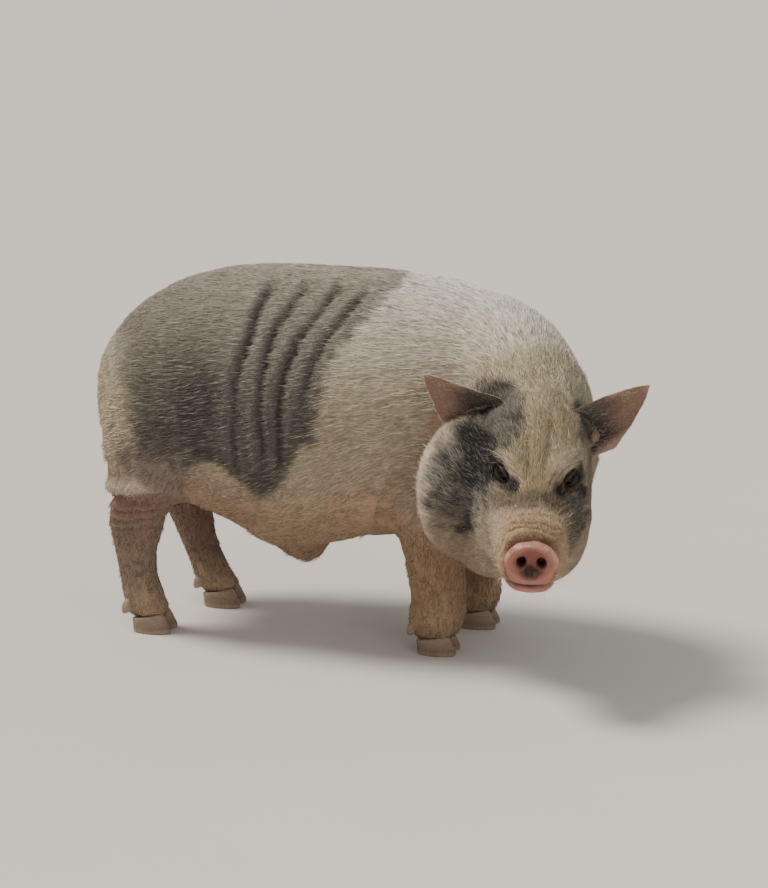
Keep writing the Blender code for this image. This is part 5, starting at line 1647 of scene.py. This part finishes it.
def scatter(arrays, weight, count, chance):
    """Random places on the skin, as many to an area as its weight asks: points, normals,
    portions. A place is a mix of its triangle's corners by the square-root rule."""
    places, normals, triangles, portion = arrays
    corner = places[triangles]
    area = np.linalg.norm(np.cross(corner[:, 1] - corner[:, 0], corner[:, 2] - corner[:, 0]), axis=1)
    share = area * weight[triangles].mean(1)
    picked = chance.choice(len(triangles), count, p=share / share.sum())
    first, second = chance.random(count), chance.random(count)
    root = np.sqrt(first)
    mix = np.stack([1 - root, root * (1 - second), root * second], 1)[..., None]
    where = (places[triangles[picked]] * mix).sum(1)
    normal = unit((normals[triangles[picked]] * mix).sum(1))
    return where, normal, portion[triangles[picked, 0]]


def turned(lie, normal, angle):
    """Directions turned about the normals by an angle each."""
    side = np.cross(normal, lie)
    return lie * np.cos(angle)[:, None] + side * np.sin(angle)[:, None]


def bristles(roots, normals, lie, length, half, lift, near, skin, bent):
    """Closed tapered locks. Each is a roof of three corners at its root, the same again half-way
    where it is bent, and a point at its tip. The path leaves the root along the lie, rises by the
    lift, and is then set at its own height over the nearest skin, so that it follows the form."""
    places, skin_normals = skin[0], skin[1]

    def settled(part):
        point = roots + lie * (length * part)[:, None]
        found = near.nearest(point)
        base = places[found]
        up = skin_normals[found]
        height = np.einsum("ij,ij->i", point - base, up)
        wanted = lift * length * (part if bent else 0.8 * part)
        wanted = wanted * (1.15 - 0.35 * part) + 0.0004
        moved = point + up * (wanted - height)[:, None]
        straight = point + normals * wanted[:, None]
        gone = (found < 0) | (np.linalg.norm(moved - straight, axis=1) > 0.6 * length)
        return np.where(gone[:, None], straight, moved)

    side = np.cross(normals, lie)
    half = half[:, None]
    low = roots - normals * 0.0006
    rings = [low + side * half, low - side * half, roots + normals * half * 0.55]
    tip = settled(np.ones(len(roots)))
    if bent:
        middle = settled(np.full(len(roots), 0.5))
        wide = half * 0.78
        rings += [middle + side * wide - normals * 0.0002, middle - side * wide - normals * 0.0002,
                  middle + normals * wide * 0.45]
        local = np.array([(0, 1, 2), (1, 0, 3), (1, 3, 4), (2, 1, 4), (2, 4, 5), (0, 2, 5),
                          (0, 5, 3), (4, 3, 6), (5, 4, 6), (3, 5, 6)])
    else:
        local = np.array([(0, 1, 2), (1, 0, 3), (2, 1, 3), (0, 2, 3)])
    points = np.stack(rings + [tip], 1)
    count, size = points.shape[:2]
    faces = (np.arange(count)[:, None, None] * size + local).reshape(-1, 3)
    return points.reshape(-1, 3), faces, size


def add_coat(name, points, faces, size, colours, roots_uv):
    """One piece of coat with its tint and its baking map, where each lock is a small patch at
    its root's place."""
    made = add_triangles(name, points - HOME, faces)
    count = len(points) // size
    level = np.ones(size)
    level[:3] = 0.80
    level[-1] = 1.12
    tint = np.repeat(colours, size, 0) * np.tile(level, count)[:, None]
    add_colour(made.data, "tint", np.clip(tint, 0, 1))
    angle = np.arange(size) * 2 * math.pi / size
    patch = PATCH_RADIUS * np.stack([np.cos(angle), np.sin(angle)], 1)
    patch[-1] *= 0.3
    spread = (roots_uv[:, None] + patch[None]).reshape(-1, 2)
    layer = made.data.uv_layers.new(name="OFBake")
    layer.data.foreach_set("uv", np.clip(spread[faces.ravel()], 0, 1).astype(np.float32).ravel())
    made.data.materials.append(bpy.data.materials.get("pig bristle") or bristle_material())
    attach(made, "root")
    return made


def coat_table(roots, portion):
    """Length, half width, lift and unruliness of the coat at each root."""
    setting = bpy.context.scene.pig_coat
    zone = regions(roots, portion)
    local = to_head(roots)
    head, legs = zone["head"], zone["legs"]
    length = np.full(len(roots), setting.body_length)
    length = length * (1 - 0.50 * (1 - ramp(roots[:, 2], 0.20, 0.30)))
    length = length * (1 - head) + head * setting.head_length
    length = length * (1 - legs) + legs * setting.leg_length
    snouty = head * ramp(local[:, 0], 0.13, 0.22)
    length = length * (1 - 0.55 * snouty)
    jowl = head * (1 - ramp(local[:, 0], 0.09, 0.13)) * (1 - ramp(local[:, 2], 0.03, 0.08))
    length = length * (1 + 0.45 * jowl)
    eyes = np.exp(-((eye_distance(local) / 0.020) ** 2)) * head
    length = length * (1 - 0.5 * eyes)
    length = np.where(zone["ear"] > 0.5, 0.0060, length)
    length = np.where(portion == TAIL_TUBE, 0.013, length)
    half = np.full(len(roots), setting.body_width / 2)
    half = half * (1 - 0.30 * head - 0.20 * legs - 0.25 * snouty)
    half = np.where(zone["ear"] > 0.5, setting.body_width * 0.28, half)
    crown = head * ramp(local[:, 2], 0.06, 0.11)
    outer = head * ramp(-local[:, 1], 0.09, 0.13) * (1 - ramp(local[:, 0], 0.09, 0.12))
    fuzz = head * ramp(local[:, 0], 0.180, 0.20) * ramp(local[:, 2], 0.010, 0.03)
    lift = 0.095 + 0.08 * head + 0.02 * legs + 0.18 * crown + 0.10 * jowl + 0.22 * outer + 0.50 * fuzz
    length = length * (1 + 0.60 * fuzz + 0.55 * crown + 0.25 * outer)
    wild = 0.10 + 0.36 * crown + 0.10 * head + 0.28 * fuzz + 0.20 * outer
    return length, half, lift, wild


def coat_weight(places, portion, bare):
    """How many locks grow on an area: none on snout, lips, lids and rims, few on bare skin, and
    many round the top of each hoof."""
    zone = regions(places, portion)
    local = to_head(places)
    weight = 1.0 - 0.92 * bare
    weight = weight + 0.7 * zone["legs"] * (1 - ramp(places[:, 2], 0.026, 0.042))
    disc = zone["head"] * ramp(local[:, 0], 0.2270, 0.2330)
    weight = weight * (1 - disc)
    weight = weight * (1 - (zone["lid"] > 0.5))
    weight = weight * (1 - zone["head"] * (eye_distance(local) < 0.0158))
    return np.clip(weight, 0, 2.5)


def grow_coat(name, chooser, count, seed, bent, longer=1.0):
    """Scatter locks where the chooser's weight lies, and add them in pieces below the limit."""
    arrays = skin_arrays()
    places, _, _, portion = arrays
    mesh = bpy.data.objects["skin"].data
    bare = np.empty(len(places), np.float32)
    mesh.attributes["bare"].data.foreach_get("value", bare)
    chance = np.random.default_rng(seed)
    weight = coat_weight(places, portion, bare) * chooser(places, portion)
    roots, normal, own = scatter(arrays, weight, count, chance)
    near = NearSkin(places)
    lie = lie_of_coat(roots, normal, own)
    length, half, lift, wild = coat_table(roots, own)
    sway = 0.14 * lattice_noise(roots, 0.045, 41) + 0.15 * lattice_noise(roots, 0.013, 42)
    lie = turned(lie, normal, sway + wild * chance.normal(size=count))
    length = longer * length * (0.70 + 0.55 * chance.random(count))
    half = half * (0.75 + 0.5 * chance.random(count)) * 1.0
    lift = lift * (0.6 + 0.8 * chance.random(count)) * (1.35 if bent else 1.0)
    _, hair, _, _ = markings(roots, normal, own)
    tone = 1 + 0.15 * chance.normal(size=count)
    pale = (chance.random(count) < 0.16).astype(float)
    hair = mixed(hair, linear("#d9cfbf"), 0.38 * pale * (roots[:, 2] > 0.2))
    hair = np.clip(hair * np.clip(tone, 0.5, 1.5)[:, None], 0.004, 0.92)
    sheet = atlas_place(roots, own)
    faces_each = 10 if bent else 4
    size = PIECE_TRIANGLES // faces_each
    order = np.argsort(roots[:, 0], kind="stable")
    pieces = max(1, math.ceil(count / size))
    made = []
    for index, chosen in enumerate(np.array_split(order, pieces)):
        points, faces, corners = bristles(
            roots[chosen], normal[chosen], lie[chosen], length[chosen], half[chosen],
            lift[chosen], near, arrays, bent)
        made.append(add_coat("%s_%d" % (name, index + 1), points, faces, corners, hair[chosen],
                             sheet[chosen]))
    return made


def body_share(places, portion):
    """Trunk and neck."""
    zone = regions(places, portion)
    return (1 - zone["head"] - zone["legs"]).clip(0, 1) * (portion == BODY)


def head_share(places, portion):
    """Head and ears, densest on the small forms of the face."""
    zone = regions(places, portion)
    local = to_head(places)
    face = 1 + 0.6 * ramp(local[:, 0], 0.10, 0.16)
    return zone["head"] * face + 0.9 * zone["ear"]


def leg_share(places, portion):
    """Legs and tail."""
    zone = regions(places, portion)
    return zone["legs"] + 1.2 * zone["tail"]


def long_hairs(name, roots, headings, lengths, radius, colour, seed, sag):
    """Single long hairs as three-sided tapered tubes of six rings. A hair's path is its heading
    with a drop that grows with the square of the distance."""
    chance = np.random.default_rng(seed)
    part = np.linspace(0, 1, 7)
    count = len(roots)
    headings = unit(headings)
    bend = chance.normal(size=(count, 3)) * 0.10
    path = roots[:, None] + headings[:, None] * (lengths[:, None] * part)[..., None]
    path = path + (bend * lengths[:, None])[:, None] * (part**2)[None, :, None]
    path[..., 2] -= sag * lengths[:, None] * part**2
    across = unit(np.cross(headings, [0.21, 0.33, 0.92]))
    other = np.cross(headings, across)
    angle = np.arange(3) * 2 * math.pi / 3
    ring = across[:, None] * np.cos(angle)[None, :, None] + other[:, None] * np.sin(angle)[None, :, None]
    thick = radius * (1 - 0.85 * part)
    points = path[:, :, None] + ring[:, None] * thick[None, :, None, None]
    rows = len(part)
    quads = ring_quads(rows, 3)
    local = np.concatenate([quads[:, [0, 1, 2]], quads[:, [0, 2, 3]], [[2, 1, 0]],
                            [[rows * 3 - 3, rows * 3 - 2, rows * 3 - 1]]])
    faces = (np.arange(count)[:, None, None] * rows * 3 + local).reshape(-1, 3)
    tone = np.clip(1 + 0.15 * chance.normal(size=count), 0.6, 1.4)[:, None] * np.array(colour)
    sheet = atlas_place(roots, np.zeros(count, int))
    return add_coat(name, points.reshape(-1, 3), faces, rows * 3, tone, sheet)


def eye_material():
    """A wet eyeball: dark brown iris round a black pupil, all under one clear, glossy film."""
    made, tree, surface = new_material("wet eye", 0.06, 1.376)
    fleck = noise_at(tree, own_place(tree), 900.0, 3.0)
    band = worked_out(tree, "MULTIPLY_ADD", {1: 0.10}, {0: fleck, 2: attribute_of(tree, "iris")})
    colour = colour_between(tree, band, (
        (0.32, "#040303"), (0.38, "#1e120a"), (0.66, "#120a06"), (0.76, "#0a0705"), (0.92, "#1d1512"),
    ))
    tree.links.new(colour, surface.inputs["Base Color"])
    surface.inputs["Specular IOR Level"].default_value = 0.30
    return made


def hoof_material():
    """Cloven hoof horn: keratin worn dull and dusty, with growth rings about 2.5 mm apart and
    fine upright fibres."""
    made, tree, surface = new_material("dusty hoof horn", 0.6, 1.55)
    place = own_place(tree)
    level = add_node(tree, "ShaderNodeSeparateXYZ", {}, {"Vector": place}).outputs["Z"]
    wander = noise_at(tree, place, 60.0, 3.0)
    height = worked_out(tree, "MULTIPLY_ADD", {1: 0.004}, {0: wander, 2: level})
    turns = worked_out(tree, "MULTIPLY", {1: 2 * math.pi / 0.0025}, {0: height})
    rings = worked_out(tree, "SINE", {}, {0: turns})
    fibre = drawn_out(tree, place, (900.0, 900.0, 60.0))
    tone = spanned(tree, height, 0.0, 1.0, 0.0, CORONET_Z)
    colour = colour_between(tree, tone, ((0.0, "#a99173"), (0.40, "#7d6855"), (1.0, "#96806a")))
    set_colour(tree, surface, colour, spanned(tree, fibre, 0.78, 1.18, 0.3, 0.7))
    set_bumps(tree, surface, ((rings, 0.4, 0.0006), (fibre, 0.3, 0.0005)))
    return made


def floor_material():
    """Matt painted studio floor: pale and even, with a faint mottle."""
    made, tree, surface = new_material("pale studio floor", 0.85, 1.45)
    shade = spanned(tree, noise_at(tree, own_place(tree), 3.0, 4.0), 0.97, 1.03)
    base = add_node(tree, "ShaderNodeRGB").outputs[0]
    base.default_value = (*bpy.context.scene.pig_studio.floor_colour, 1.0)
    set_colour(tree, surface, base, shade)
    return made


def eyeball(left):
    """One eyeball. Rings round its facing axis; near the axis the radius swells by a bell, which
    is the cornea. The iris attribute is the angle from the axis over 60 degrees."""
    rows, around = 40, 48
    polar = np.linspace(0.01, math.pi - 0.01, rows)
    angle = np.linspace(0, 2 * math.pi, around, endpoint=False)
    facing, long, short = eye_axes()
    radius = EYE_RADIUS * (1 + 0.055 * np.exp(-((polar / 0.55) ** 4)))
    middle = facing * (radius * np.cos(polar))[:, None]
    ring = long * np.cos(angle)[:, None] + short * np.sin(angle)[:, None]
    points = middle[:, None] + ring[None] * (radius * np.sin(polar))[:, None, None]
    points = np.concatenate([points.reshape(-1, 3), [middle[0]], [middle[-1]]])
    band = np.concatenate([np.repeat(polar, around), [0.0], [math.pi]]) / math.radians(60.0)
    points = from_head((points + np.array(EYE_AT)) * mirror(left))
    faces = as_triangles(outward(points, tube_faces(rows, around)))
    side = side_name(left)
    made = add_triangles("eyeball_" + side, points - HOME, faces)
    add_value(made.data, "iris", np.clip(band, 0, 1))
    made.data.materials.append(bpy.data.materials.get("wet eye") or eye_material())
    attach(made, "root")
    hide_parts("eye_" + side)
    return made


def hoof(limb, outer):
    """One toe's horn. Rings of an oval drawn out to the front, level on the floor and rising to
    the front above it, the wall leaning forward as it nears the floor, with low ridges of growth
    and a rounded top edge."""
    place = hoof_place(limb, outer)
    sign = limb_sign(limb) * (1.0 if outer else -1.0)
    key = np.array([0.0, 0.0012, 0.004, 0.014, CORONET_Z - 0.0012, CORONET_Z - 0.0003])
    shape = np.array([
        (0.0050, 0.470, 0.460), (0.0050, 0.492, 0.490), (0.0050, 0.500, 0.500),
        (0.0020, 0.455, 0.475), (-0.0018, 0.405, 0.440), (-0.0020, 0.380, 0.410),
    ])
    height = np.concatenate([key[:3], np.linspace(0.005, CORONET_Z - 0.0016, 20), key[4:]])
    forward, length, width = smooth_track(key, shape, height).T
    around = 44
    angle = np.linspace(0, 2 * math.pi, around, endpoint=False)
    wave = 0.00022 * np.sin(height * 2 * math.pi / 0.0026) * ramp(height, 0.002, 0.006)
    reach = length * HOOF_LENGTH + wave
    wide = width * HOOF_WIDTH + wave
    along = np.cos(angle) * (1 - 0.10 * np.cos(angle))
    cross = np.sin(angle) * (1 - 0.22 * np.cos(angle))
    bowed = sign * 0.0012 * np.cos(angle) ** 2
    raised = 0.0040 * ramp(height, 0.004, CORONET_Z)[:, None] * np.cos(angle)
    rings = np.stack([
        place[0] + forward[:, None] + reach[:, None] * along,
        place[1] + wide[:, None] * cross + bowed - sign * 0.0012,
        height[:, None] + raised,
    ], -1)
    ends = np.array([[place[0], place[1], 0.0], [place[0], place[1], CORONET_Z - 0.0003]])
    points = np.concatenate([rings.reshape(-1, 3), ends])
    faces = as_triangles(outward(points, tube_faces(len(height), around)))
    which = "outer" if outer else "inner"
    made = add_triangles("horn_%s_%s" % (limb, which), points - HOME, faces)
    made.data.materials.append(bpy.data.materials.get("dusty hoof horn") or hoof_material())
    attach(made, "root")
    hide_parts("hoof_%s_%s" % (limb, which))
    return made


def dewclaw(limb, outer):
    """A small horn behind the pastern, pointing down and back: an egg drawn out at its tip, with
    low rings."""
    stations = np.array(LEGS[limb])
    foot = stations[-2]
    shift = limb_sign(limb) * (DEWCLAW_SPREAD if outer else -DEWCLAW_SPREAD)
    centre = np.array([foot[0] - foot[3] * 0.86, foot[1] + shift, DEWCLAW_Z])
    lean = np.array(Matrix.Rotation(math.radians(35.0), 3, "Y"))
    points, faces = ball_form((0, 0, 0), (1, 1, 1), None, 28, 24)
    thin = 1 - 0.30 * ramp(-points[:, 2], 0.2, 1.0)
    ring = 1 + 0.02 * np.sin(points[:, 2] * 16.0)
    points = points * np.stack([thin * ring, thin * ring, np.ones(len(thin))], 1)
    points = (points * DEWCLAW_SIZE) @ lean.T + centre
    which = "outer" if outer else "inner"
    made = add_triangles("spur_%s_%s" % (limb, which), points - HOME, as_triangles(faces))
    made.data.materials.append(bpy.data.materials.get("dusty hoof horn") or hoof_material())
    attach(made, "root")
    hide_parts("dewclaw_%s_%s" % (limb, which))
    return made


class PigHide(bpy.types.PropertyGroup):
    """Colours of skin and bristles."""

    cream_skin: FloatVectorProperty(name="Cream skin", description="Skin below the cream coat",
                                    subtype="COLOR", default=linear("#b8977f"))
    cream_hair: FloatVectorProperty(name="Cream bristles", description="Bristles of neck and shoulders",
                                    subtype="COLOR", default=linear("#cfbfa2"))
    grey_skin: FloatVectorProperty(name="Grey skin", description="Skin below the grey saddle",
                                   subtype="COLOR", default=linear("#4b4542"))
    grey_hair: FloatVectorProperty(name="Grey bristles", description="Bristles of the saddle",
                                   subtype="COLOR", default=linear("#7d746b"))
    belly_skin: FloatVectorProperty(name="Belly skin", description="Thinly haired skin of the belly",
                                    subtype="COLOR", default=linear("#a07f69"))
    face_dark: FloatVectorProperty(name="Dark face", description="Skin of the face's dark patch",
                                   subtype="COLOR", default=linear("#241e1c"))
    snout_pink: FloatVectorProperty(name="Snout", description="Moist skin of the snout's disc",
                                    subtype="COLOR", default=linear("#a8705f"))


class PigCoat(bpy.types.PropertyGroup):
    """Sizes and counts of the coat."""

    depth: FloatProperty(name="Depth", description="How far the skin lies inside the solid model",
                         unit="LENGTH", default=0.0014)
    body_length: FloatProperty(name="Body length", description="Length of a bristle on the trunk",
                               unit="LENGTH", default=0.0150)
    body_width: FloatProperty(name="Width", description="Width of a lock at its root",
                              unit="LENGTH", default=0.00105)
    head_length: FloatProperty(name="Head length", description="Length of a bristle on the head",
                               unit="LENGTH", default=0.0088)
    leg_length: FloatProperty(name="Leg length", description="Length of a bristle on the legs",
                              unit="LENGTH", default=0.0068)
    body_count: IntProperty(name="Body locks", description="Flat locks on trunk and neck",
                            default=145000)
    guard_count: IntProperty(name="Guard hairs", description="Longer bent bristles on the trunk",
                             default=22000)
    head_count: IntProperty(name="Head locks", description="Locks on head and ears", default=90000)
    leg_count: IntProperty(name="Leg locks", description="Locks on legs and tail", default=38000)


class PigStudio(bpy.types.PropertyGroup):
    """Floor and lights."""

    floor_colour: FloatVectorProperty(name="Floor", description="Colour of the floor",
                                      subtype="COLOR", default=linear("#e2dcd2"))
    key_power: FloatProperty(name="Key light", description="Strength of the far main light",
                             default=3.1)
    fill_power: FloatProperty(name="Fill light", description="Power of the fill light",
                              subtype="POWER", default=20.0)
    sky_power: FloatProperty(name="Sky", description="Strength of the even light from all round",
                             default=0.52)


class PIG_OT_skin(bpy.types.Operator):
    """One skin with ears, tail and lids, marked like the living animal"""

    bl_idname = "pig.skin"
    bl_label = "Skin"

    def execute(self, context):
        made = joined_skin()
        made.data.materials.append(pig_skin_material())
        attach(made, "root")
        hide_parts("torso", "neck", "head", "leg_front_left", "leg_front_right",
                    "leg_hind_left", "leg_hind_right", "ear_left", "ear_right", "tail")
        return {"FINISHED"}


class PIG_OT_eyes(bpy.types.Operator):
    """Two wet eyeballs with iris and cornea"""

    bl_idname = "pig.eyes"
    bl_label = "Eyes"

    def execute(self, context):
        eyeball(True)
        eyeball(False)
        return {"FINISHED"}


class PIG_OT_horn(bpy.types.Operator):
    """Hooves and dewclaws of the four feet"""

    bl_idname = "pig.horn"
    bl_label = "Hooves"

    def execute(self, context):
        for limb, outer in itertools.product(LEGS, (True, False)):
            hoof(limb, outer)
            dewclaw(limb, outer)
        return {"FINISHED"}


class PIG_OT_body_coat(bpy.types.Operator):
    """Flat locks and longer guard hairs over trunk and neck"""

    bl_idname = "pig.body_coat"
    bl_label = "Body coat"

    def execute(self, context):
        setting = context.scene.pig_coat
        grow_coat("body_coat", body_share, setting.body_count, 11, False)
        grow_coat("body_guard", body_share, setting.guard_count, 12, True, 1.25)
        return {"FINISHED"}


class PIG_OT_head_coat(bpy.types.Operator):
    """Short locks over head and ears, lashes and whiskers"""

    bl_idname = "pig.head_coat"
    bl_label = "Head coat"

    def execute(self, context):
        grow_coat("head_coat", head_share, context.scene.pig_coat.head_count, 13, False)
        lashes()
        whiskers()
        return {"FINISHED"}


class PIG_OT_leg_coat(bpy.types.Operator):
    """Short locks down the legs and tail, and the tail's switch"""

    bl_idname = "pig.leg_coat"
    bl_label = "Leg and tail coat"

    def execute(self, context):
        grow_coat("leg_coat", leg_share, context.scene.pig_coat.leg_count, 14, False)
        tail_switch()
        return {"FINISHED"}


class PIG_OT_studio(bpy.types.Operator):
    """Pale floor, soft lights and the camera"""

    bl_idname = "pig.studio"
    bl_label = "Studio"

    def execute(self, context):
        studio(context.scene.pig_studio)
        return {"FINISHED"}


class PIG_PT_panel(bpy.types.Panel):
    """Lists the steps and their settings"""

    bl_label = "Pig"
    bl_idname = "PIG_PT_panel"
    bl_space_type = "VIEW_3D"
    bl_region_type = "UI"
    bl_category = "Pig"

    def draw(self, context):
        scene = context.scene
        for group in (scene.pig_hide, scene.pig_coat, scene.pig_studio):
            for name in group.__annotations__:
                self.layout.prop(group, name)
        for step in STEPS:
            self.layout.operator(step.bl_idname)


def lashes():
    """Short lashes along the upper lid: roots on the rim's upper half, leaning out and up."""
    facing, _, short = eye_axes()
    chance = np.random.default_rng(21)
    turn = np.linspace(0.25, math.pi - 0.25, LASHES) + chance.normal(size=LASHES) * 0.04
    reach, rise = lid_rim(turn)
    out = on_eye(reach * 1.03, rise + 0.06)
    roots, headings = [], []
    for left in (True, False):
        roots.append(from_head((out * EYE_RADIUS * 1.10 + np.array(EYE_AT)) * mirror(left)))
        headings.append(((out * 0.9 + short * 0.55 - facing * 0.1) * mirror(left)) @ head_frame().T)
    roots = np.concatenate(roots)
    lengths = 0.0052 * (0.6 + 0.7 * chance.random(len(roots)))
    long_hairs("lashes", roots, np.concatenate(headings), lengths, 0.00017,
               linear("#6f6353"), 22, 0.25)


def whiskers():
    """Long single hairs on muzzle, chin and brow, set on the skin itself."""
    arrays = skin_arrays()
    chance = np.random.default_rng(23)
    places, portion = arrays[0], arrays[3]
    local = to_head(places)
    zone = regions(places, portion)
    snout = ramp(local[:, 0], 0.165, 0.185) * (1 - ramp(local[:, 0], 0.222, 0.228))
    chin = bump(local[:, 2], -0.060, 0.016) * ramp(local[:, 0], 0.11, 0.14)
    brow = bump(eye_distance(local), 0.026, 0.006) * ramp(local[:, 2], 0.066, 0.078)
    weight = zone["head"] * (snout + 0.8 * chin + 1.2 * brow) + 1e-9
    roots, normal, own = scatter(arrays, weight, WHISKERS, chance)
    lie = lie_of_coat(roots, normal, own)
    heading = normal + lie * 0.9 + 0.35 * chance.normal(size=(len(roots), 3))
    lengths = 0.016 * (0.5 + chance.random(len(roots)))
    long_hairs("whiskers", roots - normal * 0.0005, heading, lengths, 0.00020,
               linear("#d8c7a6"), 24, 0.10)


def tail_switch():
    """The switch: long hairs from the tail's last third, falling along it and spreading."""
    data = np.array(TAIL)
    keys = np.arange(len(data))
    chance = np.random.default_rng(25)
    count = SWITCH_HAIRS
    part = 4.0 + chance.random(count) ** 0.7
    row = smooth_track(keys, data, part)
    ahead = smooth_track(keys, data, part - 0.05)
    run = unit(row[:, :3] - ahead[:, :3])
    angle = chance.random(count) * 2 * math.pi
    across = unit(np.cross(run, [1.0, 0.2, 0.1]))
    out = across * np.cos(angle)[:, None] + np.cross(run, across) * np.sin(angle)[:, None]
    roots = row[:, :3] + out * (row[:, 3] * 0.8)[:, None]
    heading = run + out * (0.10 + 0.16 * chance.random(count))[:, None]
    lengths = 0.052 + 0.030 * chance.random(count)
    long_hairs("tail_switch", roots, heading, lengths, 0.00042, linear("#c9b89a"), 26, 0.06)


def set_by_axes(made, across, upward, back, place):
    """Put an object at a place with its three axes along these directions."""
    turn = Matrix((across, upward, back)).transposed().to_4x4()
    turn.translation = place
    made.matrix_world = turn


def soft_light(name, place, aim, size, power, colour):
    """A soft light at a place, turned to its aim: a square one of that size, or with no size a
    far one, even over the whole floor, whose edge is blurred by 20 degrees."""
    light = bpy.data.lights.new(name, "AREA" if size else "SUN")
    if size:
        light.shape = "SQUARE"
        light.size = size
    else:
        light.angle = math.radians(20.0)
    light.energy = power
    light.color = colour
    back = unit((np.array(place) - np.array(aim))[None])[0]
    side = unit(np.cross(ALONG_Z, back)[None])[0]
    set_by_axes(add_made(name, light), side, np.cross(back, side), back, place)


def add_floor():
    """A round pale floor that fills the view."""
    around = 96
    angle = np.linspace(0, 2 * math.pi, around, endpoint=False)
    radius = np.array([0.6, 2.0, 6.0, 20.0, 60.0])
    ring = np.stack([np.cos(angle), np.sin(angle), 0 * angle], 1)
    points = np.concatenate([(ring[None] * radius[:, None, None]).reshape(-1, 3), [[0.0, 0.0, 0.0]]])
    quads = np.roll(ring_quads(len(radius), around)[:, ::-1], 1, axis=1).tolist()
    fan = [(len(points) - 1, index, (index + 1) % around) for index in range(around)]
    floor = add_object("floor", points - [0, 0, 0.0002], quads + fan)
    floor.data.materials.append(floor_material())


def add_camera():
    """The camera, which stands and looks as the photo's did."""
    cosine, sine = math.cos(CAMERA_YAW), math.sin(CAMERA_YAW)
    place = np.array([-CAMERA_ACROSS * cosine + CAMERA_AHEAD * sine,
                      -CAMERA_ACROSS * sine - CAMERA_AHEAD * cosine, CAMERA_Z]) - HOME
    ahead = np.array([-sine, cosine, 0.0])
    right = np.array([cosine, sine, 0.0])
    look = ahead * math.cos(CAMERA_PITCH) - np.array([0, 0, math.sin(CAMERA_PITCH)])
    above = ahead * math.sin(CAMERA_PITCH) + np.array([0, 0, math.cos(CAMERA_PITCH)])
    across = right * math.cos(CAMERA_ROLL) + above * math.sin(CAMERA_ROLL)
    upward = above * math.cos(CAMERA_ROLL) - right * math.sin(CAMERA_ROLL)
    lens = bpy.data.cameras.new("camera")
    lens.sensor_fit = "VERTICAL"
    lens.sensor_height = SENSOR_HEIGHT
    lens.lens = CAMERA_PIXELS / PICTURE_HEIGHT * SENSOR_HEIGHT
    lens.clip_start = 0.1
    lens.clip_end = 100.0
    camera = add_made("camera", lens)
    set_by_axes(camera, across, upward, -look, place)
    bpy.context.scene.camera = camera


def studio(setting):
    """The floor, a far soft key light from the upper left, a weak fill, an even pale sky, and the
    camera."""
    add_floor()
    soft_light("key", KEY_AT, LIGHT_AIM, 0.0, setting.key_power, KEY_COLOUR)
    soft_light("fill", FILL_AT, LIGHT_AIM, FILL_SIZE, setting.fill_power, FILL_COLOUR)
    world = bpy.data.worlds.new("studio")
    world.use_nodes = True
    sky = world.node_tree.nodes["Background"].inputs
    sky["Color"].default_value = SKY_COLOUR
    sky["Strength"].default_value = setting.sky_power
    bpy.context.scene.world = world
    add_camera()


GROUPS = (PigHide, PigCoat, PigStudio)
STEPS = (PIG_OT_skin, PIG_OT_eyes, PIG_OT_horn, PIG_OT_body_coat, PIG_OT_head_coat,
         PIG_OT_leg_coat, PIG_OT_studio)


def register():
    """Make the classes and their settings known."""
    for group in GROUPS + STEPS + (PIG_PT_panel,):
        bpy.utils.register_class(group)
    bpy.types.Scene.pig_hide = PointerProperty(type=PigHide)
    bpy.types.Scene.pig_coat = PointerProperty(type=PigCoat)
    bpy.types.Scene.pig_studio = PointerProperty(type=PigStudio)


def unregister():
    """Take the classes and their settings away again."""
    del bpy.types.Scene.pig_studio
    del bpy.types.Scene.pig_coat
    del bpy.types.Scene.pig_hide
    for group in reversed(GROUPS + STEPS + (PIG_PT_panel,)):
        bpy.utils.unregister_class(group)


def main():
    """Register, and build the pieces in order."""
    register()
    for step in STEPS:
        group, name = step.bl_idname.split(".")
        getattr(getattr(bpy.ops, group), name)()


if __name__ == "__main__":
    main()
